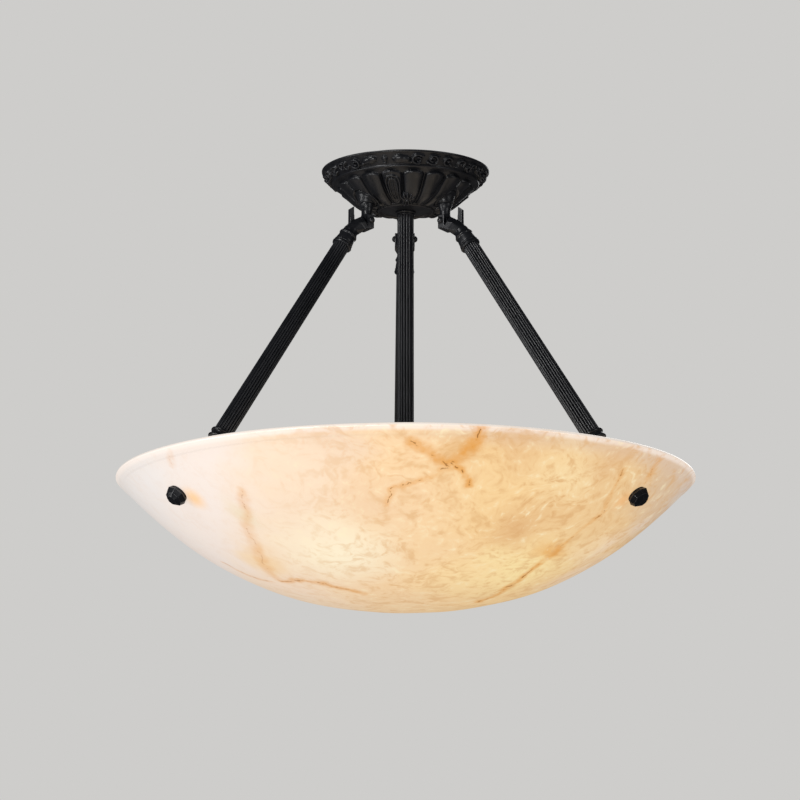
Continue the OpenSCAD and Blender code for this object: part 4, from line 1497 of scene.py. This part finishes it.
    def _foot(self, foot: np.ndarray, lug: np.ndarray) -> np.ndarray:
        """Returns the lift of the foot's moulding: a ridge, and a second one, higher at each lug."""
        away = ease(lug, 13.0, 19.0)
        at_lug = ridge(foot - 3.4, width=1.1, height=2.1) * (1 - away)
        elsewhere = ridge(foot - 3.0, width=0.8, height=1.1) * away
        return np.maximum(ridge(foot - 0.4, width=1.4, height=1.9), np.maximum(at_lug, elsewhere))


@dataclass
class ReededTubes:
    """The rods and the stem: tubes with convex reeds, made by one geometry tree."""

    reed_sides: int = 12
    groove: float = 1.6
    sharpness: float = 0.58
    ring_count: int = 12

    def tree(self) -> bpy.types.NodeTree:
        """Builds the geometry tree of a reeded tube.

        Returns:
            The tree, with named inputs for its sizes.
        """
        tree = bpy.data.node_groups.new("Reeded tube", "GeometryNodeTree")
        for title, kind in (("Length", "Float"), ("Top radius", "Float"), ("Low radius", "Float"),
                            ("Reeds", "Int"), ("Groove", "Float"), ("Finish", "Material")):
            tree.interface.new_socket(title, in_out="INPUT", socket_type="NodeSocket" + kind)
        tree.interface.new_socket("Geometry", in_out="OUTPUT", socket_type="NodeSocketGeometry")
        pen = Pen(tree)
        given = pen.node("NodeGroupInput").outputs
        tube = pen.node("GeometryNodeMeshCylinder", {
            "Vertices": pen.math("MULTIPLY", given["Reeds"], float(self.reed_sides)),
            "Side Segments": self.ring_count, "Radius": 1.0, "Depth": 1.0}, fill_type="NGON")
        place = pen.node("ShaderNodeSeparateXYZ", {0: pen.node("GeometryNodeInputPosition").outputs[0]})
        x, y, z = place.outputs
        angle = pen.math("ARCTAN2", y, x)
        up = pen.math("ADD", z, 0.5)
        wide = pen.math("SUBTRACT", given["Top radius"], given["Low radius"])
        radius = pen.math("MULTIPLY_ADD", up, wide, given["Low radius"])
        half_turns = pen.math("MULTIPLY", given["Reeds"], 0.5)
        wave = pen.math("ABSOLUTE", pen.math("SINE", pen.math("MULTIPLY", angle, half_turns)))
        hollow = pen.math("SUBTRACT", 1.0, pen.math("POWER", wave, self.sharpness))
        radius = pen.math("SUBTRACT", radius, pen.math("MULTIPLY", given["Groove"], hollow))
        moved = pen.node("ShaderNodeCombineXYZ", {
            0: pen.math("MULTIPLY", radius, pen.math("COSINE", angle)),
            1: pen.math("MULTIPLY", radius, pen.math("SINE", angle)),
            2: pen.math("MULTIPLY", z, given["Length"])})
        shaped = pen.node("GeometryNodeSetPosition", {
            "Geometry": tube.outputs["Mesh"], "Position": moved.outputs[0]})
        whole = pen.node("GeometryNodeRealizeInstances", {"Geometry": shaped.outputs[0]})
        dressed = pen.node("GeometryNodeSetMaterial", {
            "Geometry": whole.outputs[0], "Material": given["Finish"]})
        pen.feed(pen.node("NodeGroupOutput").inputs[0], dressed.outputs[0])
        return tree

    def make(self, name: str, tree: bpy.types.NodeTree, length: float, top_r: float, low_r: float,
             reeds: int, finish: bpy.types.Material) -> bpy.types.Object:
        """Makes one reeded tube, centred on the origin along Z.

        Args:
            name: the tube's name.
            tree: the geometry tree.
            length: its length.
            top_r: radius of its upper end.
            low_r: radius of its lower end.
            reeds: number of reeds.
            finish: its material.

        Returns:
            The tube.
        """
        return run_tree(name, tree, {
            "Length": length, "Top radius": top_r, "Low radius": low_r, "Reeds": reeds,
            "Groove": self.groove, "Finish": finish}, 38.0)


def run_tree(name: str, tree: bpy.types.NodeTree, values: dict[str, Any],
             sharp: float) -> bpy.types.Object:
    """Runs a geometry tree and keeps its result as a plain mesh.

    Args:
        name: the object's name.
        tree: the geometry tree.
        values: its inputs by name.
        sharp: angle in degrees past which an edge is drawn sharp.

    Returns:
        The object.
    """
    obj = bpy.data.objects.new(name, bpy.data.meshes.new(name))
    bpy.context.scene.collection.objects.link(obj)
    step = obj.modifiers.new(tree.name, "NODES")
    step.node_group = tree
    for item in tree.interface.items_tree:
        if item.in_out == "INPUT" and item.name in values:
            step[item.identifier] = values[item.name]
    apply_modifiers(obj)
    shade(obj, sharp)
    return obj


@dataclass
class Rods:
    """The three reeded rods and the centre stem, with the ring that holds the canopy up."""

    rod_reeds: int = 20
    rod_top_r: float = 8.75
    rod_low_r: float = 10.0
    rod_start: float = 41.0
    foot_room: float = 46.0
    stem_reeds: int = 16
    stem_r: float = 8.8
    stem_top: float = -48.0
    stem_low: float = -325.0
    ring_top: float = -44.0
    bore_r: float = 5.1

    def build(self, dresser: Dresser, stations: Sequence[RodStation]) -> None:
        """Makes the rods, the stem and the ring.

        Args:
            dresser: finishes the pieces.
            stations: where the rods hang.
        """
        tubes = ReededTubes()
        tree = tubes.tree()
        black = dresser.materials[Slot.BLACK]
        for station in stations:
            end = station.bend_run - self.foot_room
            rod = tubes.make(f"reeded_rod_{station.number}", tree, end - self.rod_start,
                             self.rod_top_r, self.rod_low_r, self.rod_reeds, black)
            middle = Matrix.Translation((station.line_offset, 0, -(end + self.rod_start) / 2))
            rod.data.transform(middle)
            dresser.piece(rod, station.line(), Slot.BLACK, station.body, f"rod_{station.number}")
        stem = tubes.make("reeded_stem", tree, self.stem_top - self.stem_low, self.stem_r,
                          self.stem_r, self.stem_reeds, black)
        stem.data.transform(Matrix.Translation((0, 0, (self.stem_top + self.stem_low) / 2)))
        dresser.piece(stem, Matrix.Identity(4), Slot.BLACK, Body.CEILING.value, "stem")
        top = self.ring_top
        ring = turned("canopy_neck_ring", (
            (self.bore_r, top), (10.6, top), (10.8, top - 1), (10.2, top - 1.9), (9.3, top - 2.2),
            (9.7, top - 3), (9.5, top - 3.8), (self.bore_r, top - 4)), 0.3, closed=True)
        dresser.piece(ring, Matrix.Identity(4), Slot.BLACK, Body.CEILING.value, "canopy_ring")


@dataclass
class Knuckles:
    """The joint at each rod's top: a lug under the canopy, a pin and the rod's fork."""

    eye_r: float = 6.0
    lug_half: float = 6.0
    pin_r: float = 2.5
    prong_in: float = 6.4
    prong_out: float = 10.6
    prong_top: float = 6.0
    crotch: float = -6.7
    voxel: float = 0.4
    shank_r: float = 3.0
    shank_top: float = 43.5
    neck_run: float = 20.0
    collar: tuple[tuple[float, float], ...] = (
        (0, 23.4), (8.0, 23.4), (8.7, 24), (9.0, 25.4), (9.7, 26), (9.8, 27.2), (9.0, 28),
        (8.8, 29), (9.2, 31.5), (9.6, 34.6), (9.4, 35.8), (10.1, 36.4), (10.3, 37.4), (9.5, 38.1),
        (10.4, 38.8), (10.9, 40), (10.5, 41.4), (9, 41.8), (0, 41.8))

    def build(self, dresser: Dresser, stations: Sequence[RodStation]) -> None:
        """Makes the three knuckles.

        Args:
            dresser: finishes the pieces.
            stations: where the rods hang.
        """
        for station in stations:
            number = station.number
            dresser.piece(self._lug(f"canopy_lug_{number}"), station.upright(), Slot.BLACK,
                          Body.CEILING.value, f"lug_{number}")
            dresser.piece(self._pin(f"knuckle_pin_{number}"), station.upright(), Slot.BLACK,
                          station.body, f"pivot_pin_{number}")
            dresser.piece(self._fork(f"knuckle_fork_{number}", station), station.upright(),
                          Slot.BLACK, station.body, f"rod_fork_{number}")

    def _lug(self, name: str) -> bpy.types.Object:
        """Makes a lug: shank, flange, a neck like a trumpet and a round eye, in the upright frame."""
        clay = Clay(name)
        rows = ((7.6, 7.6, 20.0), (7.6, 7.6, 18.2), (7.0, 7.2, 16.6), (6.0, 6.5, 14.4),
                (5.4, 6.0, 11.4), (5.3, 6.0, 7.0))
        for (wide, deep, top), (wide_2, deep_2, low) in zip(rows, rows[1:]):
            clay.add([Vector((p.x * wide, p.y * deep, top)) for p in circle(1, (0, 0, 0))]
                     + [Vector((p.x * wide_2, p.y * deep_2, low)) for p in circle(1, (0, 0, 0))])
        clay.add([Vector((p.x * 5.3, p.y * 6.0, 8.0)) for p in circle(1, (0, 0, 0))]
                 + eye(self.eye_r - 0.3, -self.lug_half, self.lug_half))
        skin = clay.skin(self.voxel, 3)
        cut(skin, self._bore())
        shank = Thread(self.shank_r - 0.4, 0.4, 1.0, 19.0, self.shank_top).make(name + "_shank", 32, 6)
        return join(name, (skin, shank))

    def _bore(self) -> bpy.types.Object:
        """Makes the cutter of the pin's bore."""
        radius = self.pin_r + 0.05
        bore = turned("pin_bore", ((0, -20), (radius, -20), (radius, 20), (0, 20)), 0.0, 32)
        bore.data.transform(Matrix.Rotation(math.radians(90), 4, "X"))
        return bore

    def _pin(self, name: str) -> bpy.types.Object:
        """Makes a pin with a domed head at each end, along the upright frame's Y."""
        out = self.prong_out + 0.1
        half = ((0, out + 3.0), (1.5, out + 2.7), (2.8, out + 1.7), (3.4, out + 0.6), (3.4, out),
                (self.pin_r, out))
        outline = list(half) + [(r, -z) for r, z in reversed(half)]
        pin = turned(name, outline, 0.35, 40)
        pin.data.transform(Matrix.Rotation(math.radians(90), 4, "X"))
        return pin

    def _fork(self, name: str, station: RodStation) -> bpy.types.Object:
        """Makes a fork: collar, arm, two upright prongs and a thumb, in the upright frame.

        Args:
            name: the fork's name.
            station: where its rod hangs.

        Returns:
            The fork.
        """
        lean = Matrix.Rotation(-station.tilt, 4, "Y")
        line_x, wide, run = station.line_offset, self.prong_out, self.neck_run
        neck = [lean @ p for p in circle(8.3, (line_x, 0, -run - 6))]
        waist = [lean @ p for p in circle(7.9, (line_x, 0, -run))]
        clay = Clay(name)
        clay.add(neck + waist)
        palm = [Vector((x, side * y, z)) for side in (-1, 1) for x, y, z in (
            (7.5, 4.6, 4.8), (14.0, 4.6, 1.4), (7.5, wide, -2.2), (13.5, wide, -4.0),
            (7.4, wide, -10.4), (3.0, wide, -8.6), (7.5, wide, self.crotch))]
        clay.add(waist + palm)
        clay.add(block((-3.0, -wide, -8.6), (8.0, wide, self.crotch)))
        for side in (-1, 1):
            near, far = sorted((side * self.prong_in, side * wide))
            clay.add(block((-3.1, near, -8.4), (4.2, far, self.prong_top)))
        clay.add([Vector((x, y, z)) for y in (-2.4, 2.4)
                  for x, z in ((15.6, -4.0), (21.2, -4.0), (20.9, 11.2), (16.4, 14.4))])
        skin = clay.skin(self.voxel, 2)
        cut(skin, self._bore())
        collar = turned(name + "_collar", [(r, -s) for r, s in self.collar], 0.3, 96)
        collar.data.transform(lean @ Matrix.Translation((line_x, 0, 0)))
        return join(name, (skin, collar))


@dataclass
class Feet:
    """The fixing of each rod on the stone: collar, bent foot, pad, stud, washer and knob."""

    neck: float = 38.0
    collar_h: float = 12.0
    collar_drop: float = 4.0
    neck_r: float = 8.5
    base_r: float = 13.0
    base_t: float = 6.0
    base_face: float = 12.3
    pad_face: float = 10.3
    bend_r: float = 13.0
    stud_r: float = 4.0
    stud_pitch: float = 1.25
    stud_in: float = 24.3
    stud_out: float = 8.9
    washer_face: float = 0.3
    washer_low: float = 1.8
    knob_face: float = 1.9
    knob_r: float = 11.8
    knob_h: float = 10.0

    def build(self, dresser: Dresser, stations: Sequence[RodStation]) -> None:
        """Makes the three fixings.

        Args:
            dresser: finishes the pieces.
            stations: where the rods hang.
        """
        for station in stations:
            number, wall = station.number, station.wall()
            dresser.piece(self._foot(f"rod_foot_cast_{number}", station), wall, Slot.BLACK,
                          station.body, f"rod_foot_{number}")
            pad = turned(f"rubber_pad_{number}", (
                (self.stud_r + 0.1, -self.base_face), (self.base_r - 1, -self.base_face),
                (self.base_r - 0.6, -self.pad_face - 0.9), (self.base_r - 1, -self.pad_face),
                (self.stud_r + 0.1, -self.pad_face)), 0.4, 64, closed=True)
            dresser.piece(pad, wall, Slot.RUBBER, station.body, f"foot_pad_{number}")
            stud = Thread(self.stud_r - 0.55, 0.55, self.stud_pitch, -self.stud_in,
                          self.stud_out).make(f"threaded_stud_{number}")
            dresser.piece(stud, wall, Slot.STEEL, station.body, f"wall_stud_{number}")
            washer = turned(f"black_washer_{number}", (
                (5.0, self.washer_face), (10.0, self.washer_face), (10.2, 1.0),
                (9.8, self.washer_low), (5.0, self.washer_low)), 0.3, 64, closed=True)
            dresser.piece(washer, wall, Slot.BLACK, f"washer_{number}", f"outer_washer_{number}")
            dresser.piece(self._knob(f"faceted_knob_{number}"), wall, Slot.BLACK,
                          f"knob_{number}", f"knob_{number}")

    def _knob(self, name: str) -> bpy.types.Object:
        """Makes an eight-sided knob with a blind bore, in the wall's frame."""
        face, top, wide = self.knob_face, self.knob_face + self.knob_h, self.knob_r
        outline = ((0, face), (wide - 1, face), (wide, face + 2), (wide - 2.2, top - 3),
                   (wide - 6.0, top), (0, top))
        obj = turned(name, outline, 0.0, 8, sharp=30.0)
        merge_flat_faces(obj)
        bevel(obj, 0.45, 30.0)
        cut(obj, turned("knob_bore", ((0, face - 2), (5, face - 2), (5, face + 8), (0, face + 8)),
                        0.0, 40), sharp=30.0)
        return obj

    def _foot(self, name: str, station: RodStation) -> bpy.types.Object:
        """Makes a foot: moulded collar, bent neck and round base, in the wall's frame.

        Args:
            name: the foot's name.
            station: where its rod hangs.

        Returns:
            The foot.
        """
        to_wall = station.wall().inverted() @ station.line()
        to_wall.translation /= MM
        start_run = station.bend_run - self.neck - self.collar_h + self.collar_drop
        outline = [(0, 0), (10.9, 0), (11.9, 0.8), (12.1, 2), (11.4, 3), (10.5, 3.4), (10.3, 5.2),
                   (10.8, 7.0), (11.8, 7.7), (12.0, 8.8), (11.2, 9.8), (9.8, 10.4), (9.1, 11.4),
                   (8.4, 12.0), (0, 12.0)]
        collar = turned(name + "_collar", [(r, -start_run - h) for r, h in outline], 0.35)
        collar.data.transform(to_wall @ Matrix.Translation((station.line_offset, 0, 0)))
        down = to_wall @ Vector((station.line_offset, 0, -start_run - self.collar_h + 1))
        bend = Vector((0, 0, -station.bend_depth))
        neck = self._bent_neck(name, np.array(down), np.array(bend))
        face, base = -self.base_face, -self.base_face - self.base_t
        foot = turned(name + "_base", ((0, face), (12.4, face), (13, face - 0.6), (13, face - 2.2),
                                       (12, face - 3.4), (10.4, base + 0.8), (9.4, base), (8.6, base - 2),
                                       (0, base - 2)), 0.4)
        return join(name, (collar, neck, foot))

    def _bent_neck(self, name: str, start: np.ndarray, bend: np.ndarray) -> bpy.types.Object:
        """Sweeps the neck from the collar round its bend to the base.

        Args:
            name: name of the foot.
            start: where the neck leaves the collar, in the wall's frame.
            bend: the corner of its way.

        Returns:
            The neck.
        """
        end = np.array([0.0, 0.0, -self.base_face - 2.0])
        into = (start - bend) / np.linalg.norm(start - bend)
        out = (end - bend) / np.linalg.norm(end - bend)
        reach = min(self.bend_r, 0.7 * np.linalg.norm(end - bend))
        first, last = bend + into * reach, bend + out * reach
        way = [start + (first - start) * t for t in np.linspace(0, 1, 6)[:-1]]
        way += [(1 - t) ** 2 * first + 2 * t * (1 - t) * bend + t ** 2 * last
                for t in np.linspace(0, 1, 14)]
        way += [last + (end - last) * t for t in np.linspace(0, 1, 4)[1:]]
        radii = np.full(len(way), self.neck_r)
        return swept(name + "_neck", np.array(way), radii, np.array([0.0, 1.0, 0.0]))


def merge_flat_faces(obj: bpy.types.Object) -> None:
    """Merges the flat faces of a faceted piece, so that a bevel finds its real edges."""
    work = bmesh.new()
    work.from_mesh(obj.data)
    bmesh.ops.dissolve_limit(work, angle_limit=math.radians(1), verts=work.verts, edges=work.edges)
    work.to_mesh(obj.data)
    work.free()


@dataclass
class LampCluster:
    """The lamps inside the bowl: cluster body, holders, inserts, caps and globes."""

    drop: float = -350.0
    cluster_r: float = 22.0
    top: float = -331.0
    low: float = -369.0
    pipe_r: float = 5.05
    holder_x: float = 23.0
    holder_len: float = 39.0
    holder_r: float = 19.5
    insert_x: float = 28.0
    cap_r: float = 13.2
    cap_tip: float = 36.0
    globe_x: float = 110.0
    globe_r: float = 30.0
    ribs: int = 30

    def build(self, dresser: Dresser) -> None:
        """Makes the cluster and its lamps.

        Args:
            dresser: finishes the pieces.
        """
        self._stack(dresser)
        tree = self._rib_tree()
        for number in ROD_NUMBERS:
            place = self._lamp_frame(number, MM)
            self._holder(dresser, number, place, tree)
            self._lamp(dresser, number, place)

    def _lamp_frame(self, number: int, unit: float) -> Matrix:
        """Returns a lamp's frame, with Z out of its holder; unit is a millimetre in its lengths."""
        out = Vector(joint(f"lamp_{number}_withdrawal")["axis"])
        side = Vector((0, 0, 1)).cross(out)
        return axes(Vector((0, 0, -1)), side, out, Vector((0, 0, self.drop * unit)))

    def _stack(self, dresser: Dresser) -> None:
        """Makes the turned pieces on the centre pipe."""
        bore, top, low, wide = self.pipe_r, self.top, self.low, self.cluster_r
        frame_at, body = Matrix.Identity(4), Body.CEILING.value
        collar = turned("cluster_neck", ((bore, top + 6), (11, top + 6), (11.2, top + 4.8),
                                         (10.2, top + 3.8), (10.8, top + 2.6), (13.5, top + 1.6),
                                         (13.5, top), (bore, top)), 0.3, closed=True)
        dresser.piece(collar, frame_at, Slot.BLACK, body, "cluster_collar")
        shell = turned("cluster_drum", (
            (bore, top), (20.6, top), (wide, top - 1.4), (wide, top - 5), (21.4, top - 5.6),
            (21.4, low + 4.4), (wide, low + 3.8), (wide, low), (19.5, low), (19.5, top - 2.5),
            (bore, top - 2.5)), 0.35, closed=True)
        cutters = []
        for number in ROD_NUMBERS:
            hole = turned("nipple_hole", ((0, 12), (bore, 12), (bore, 30), (0, 30)), 0.0, 40)
            hole.data.transform(self._lamp_frame(number, 1.0))
            cutters.append(hole)
        cut(shell, *cutters)
        dresser.piece(shell, frame_at, Slot.BLACK, body, "cluster_body")
        cover = turned("cluster_lid", (
            (bore, low + 2), (19.3, low + 2), (19.3, low), (wide, low), (wide, low - 1),
            (20.6, low - 2.2), (17, low - 2.6), (14, low - 3), (bore, low - 3)), 0.3, closed=True)
        dresser.piece(cover, frame_at, Slot.BLACK, body, "cluster_cover")
        base = low - 3
        finial = turned("cluster_finial", ((bore, base), (9, base), (9, base - 2), (7.4, base - 3.4),
                                           (6.2, base - 4.4), (6.6, base - 6), (6.3, base - 8.4),
                                           (4.6, base - 10.8), (2.2, base - 11.9), (0, base - 12),
                                           (0, base - 7), (bore, base - 6.6)), 0.5, closed=True)
        dresser.piece(finial, frame_at, Slot.BLACK, body, "cluster_cap_nut")

    def _rib_tree(self) -> bpy.types.NodeTree:
        """Builds the geometry tree of a ring of grip ribs.

        Returns:
            The tree, with named inputs for its sizes.
        """
        tree = bpy.data.node_groups.new("Grip ribs", "GeometryNodeTree")
        for title, kind in (("Count", "Int"), ("Ring radius", "Float"), ("Rib radius", "Float"),
                            ("Rib length", "Float"), ("Finish", "Material")):
            tree.interface.new_socket(title, in_out="INPUT", socket_type="NodeSocket" + kind)
        tree.interface.new_socket("Geometry", in_out="OUTPUT", socket_type="NodeSocketGeometry")
        pen = Pen(tree)
        given = pen.node("NodeGroupInput").outputs
        ring = pen.node("GeometryNodeMeshCircle", {
            "Vertices": given["Count"], "Radius": given["Ring radius"]}, fill_type="NONE")
        rib = pen.node("GeometryNodeMeshCylinder", {
            "Vertices": 10, "Radius": given["Rib radius"], "Depth": given["Rib length"]})
        spread = pen.node("GeometryNodeInstanceOnPoints", {
            "Points": ring.outputs[0], "Instance": rib.outputs["Mesh"]})
        whole = pen.node("GeometryNodeRealizeInstances", {"Geometry": spread.outputs[0]})
        dressed = pen.node("GeometryNodeSetMaterial", {
            "Geometry": whole.outputs[0], "Material": given["Finish"]})
        pen.feed(pen.node("NodeGroupOutput").inputs[0], dressed.outputs[0])
        return tree

    def _holder(self, dresser: Dresser, number: int, place: Matrix, tree: bpy.types.NodeTree) -> None:
        """Makes one lampholder with its insert.

        Args:
            dresser: finishes the pieces.
            number: the lamp's number.
            place: the lamp's frame.
            tree: the geometry tree of the grip ribs.
        """
        start, end, wide = self.holder_x, self.holder_x + self.holder_len, self.holder_r
        shell = turned(f"holder_shell_{number}", (
            (self.pipe_r, start), (12, start), (16.5, start + 1.6), (wide, start + 6), (wide, end - 6),
            (wide + 1, end - 5), (wide + 1, end - 1), (wide + 0.2, end), (15.2, end),
            (15.0, start + 3), (self.pipe_r, start + 3)), 0.6, closed=True)
        ribs = run_tree(f"holder_ribs_{number}", tree, {
            "Count": self.ribs, "Ring radius": wide, "Rib radius": 0.75, "Rib length": 18.0,
            "Finish": dresser.materials[Slot.BLACK]}, 50.0)
        ribs.data.transform(Matrix.Translation((0, 0, start + 19)))
        holder = join(f"ribbed_holder_{number}", (shell, ribs))
        dresser.piece(holder, place, Slot.BLACK, Body.CEILING.value, f"lampholder_{number}")
        disc, mouth = self.insert_x + 6, end - 2
        insert = turned(f"ceramic_insert_{number}", (
            (0, self.insert_x), (14.2, self.insert_x), (14.45, mouth - 0.6), (13.9, mouth),
            (13.5, mouth - 0.2), (13.45, disc), (0, disc)), 0.3)
        dresser.piece(insert, place, Slot.CERAMIC, Body.CEILING.value, f"holder_insert_{number}")

    def _lamp(self, dresser: Dresser, number: int, place: Matrix) -> None:
        """Makes one lamp: a threaded cap with its contact, and a frosted globe.

        Args:
            dresser: finishes the pieces.
            number: the lamp's number.
            place: the lamp's frame.
        """
        tip, end = self.cap_tip, self.holder_x + self.holder_len
        contact = turned("contact", ((0, tip), (3.6, tip + 0.2), (4.8, tip + 1.6), (5, tip + 3),
                                     (9, tip + 3.6), (11.8, tip + 5), (0, tip + 5)), 0.4, 48)
        screw = Thread(self.cap_r - 1.1, 1.1, 3.6, tip + 4.8, end - 3, rounded=True).make("screw", 64)
        skirt = turned("skirt", ((0, end - 3.4), (12.6, end - 3.4), (13.1, end - 2), (13.1, end),
                                 (0, end)), 0.3, 64)
        cap = join(f"screw_cap_{number}", (contact, screw, skirt))
        dresser.piece(cap, place, Slot.STEEL, f"lamp_{number}", f"lamp_cap_{number}")
        middle, wide = self.globe_x, self.globe_r
        start = math.asin(14.0 / wide)
        arc = [(wide * math.sin(a), middle - wide * math.cos(a))
               for a in np.linspace(start + 0.35, math.pi, 40)]
        neck = [(13.6, end), (13.9, end + 4), (15.2, end + 10)]
        globe = turned(f"frosted_globe_{number}", [(0, end)] + neck + arc, 1.2, 72)
        dresser.piece(globe, place, Slot.GLOBE, f"lamp_{number}", f"lamp_globe_{number}")


@dataclass
class HiddenHardware:
    """The hardware inside the canopy and the stem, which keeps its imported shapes."""

    steel: tuple[str, ...] = ("ceiling_strap", "strap_nut", "hanger", "hanger_nut", "lug_nuts",
                              "centre_pipe", "holder_nipples", "terminal_screws", "earth_screw")
    nylon: tuple[str, ...] = ("terminal_block", "lamp_wires")

    def build(self, dresser: Dresser) -> None:
        """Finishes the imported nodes.

        Args:
            dresser: holds the finishes.
        """
        for name in self.steel:
            dresser.node(name, Slot.STEEL)
        for name in self.nylon:
            dresser.node(name, Slot.NYLON)


def main() -> None:
    """Builds the studio and then the light, piece by piece."""
    logging.basicConfig(level=logging.INFO, format="%(message)s")
    stations = [RodStation(number) for number in ROD_NUMBERS]
    Studio().build()
    dresser = Dresser()
    Bowl().build(dresser, stations)
    Canopy().build(dresser, stations)
    Rods().build(dresser, stations)
    Knuckles().build(dresser, stations)
    Feet().build(dresser, stations)
    LampCluster().build(dresser)
    HiddenHardware().build(dresser)


if __name__ == "__main__":
    main()
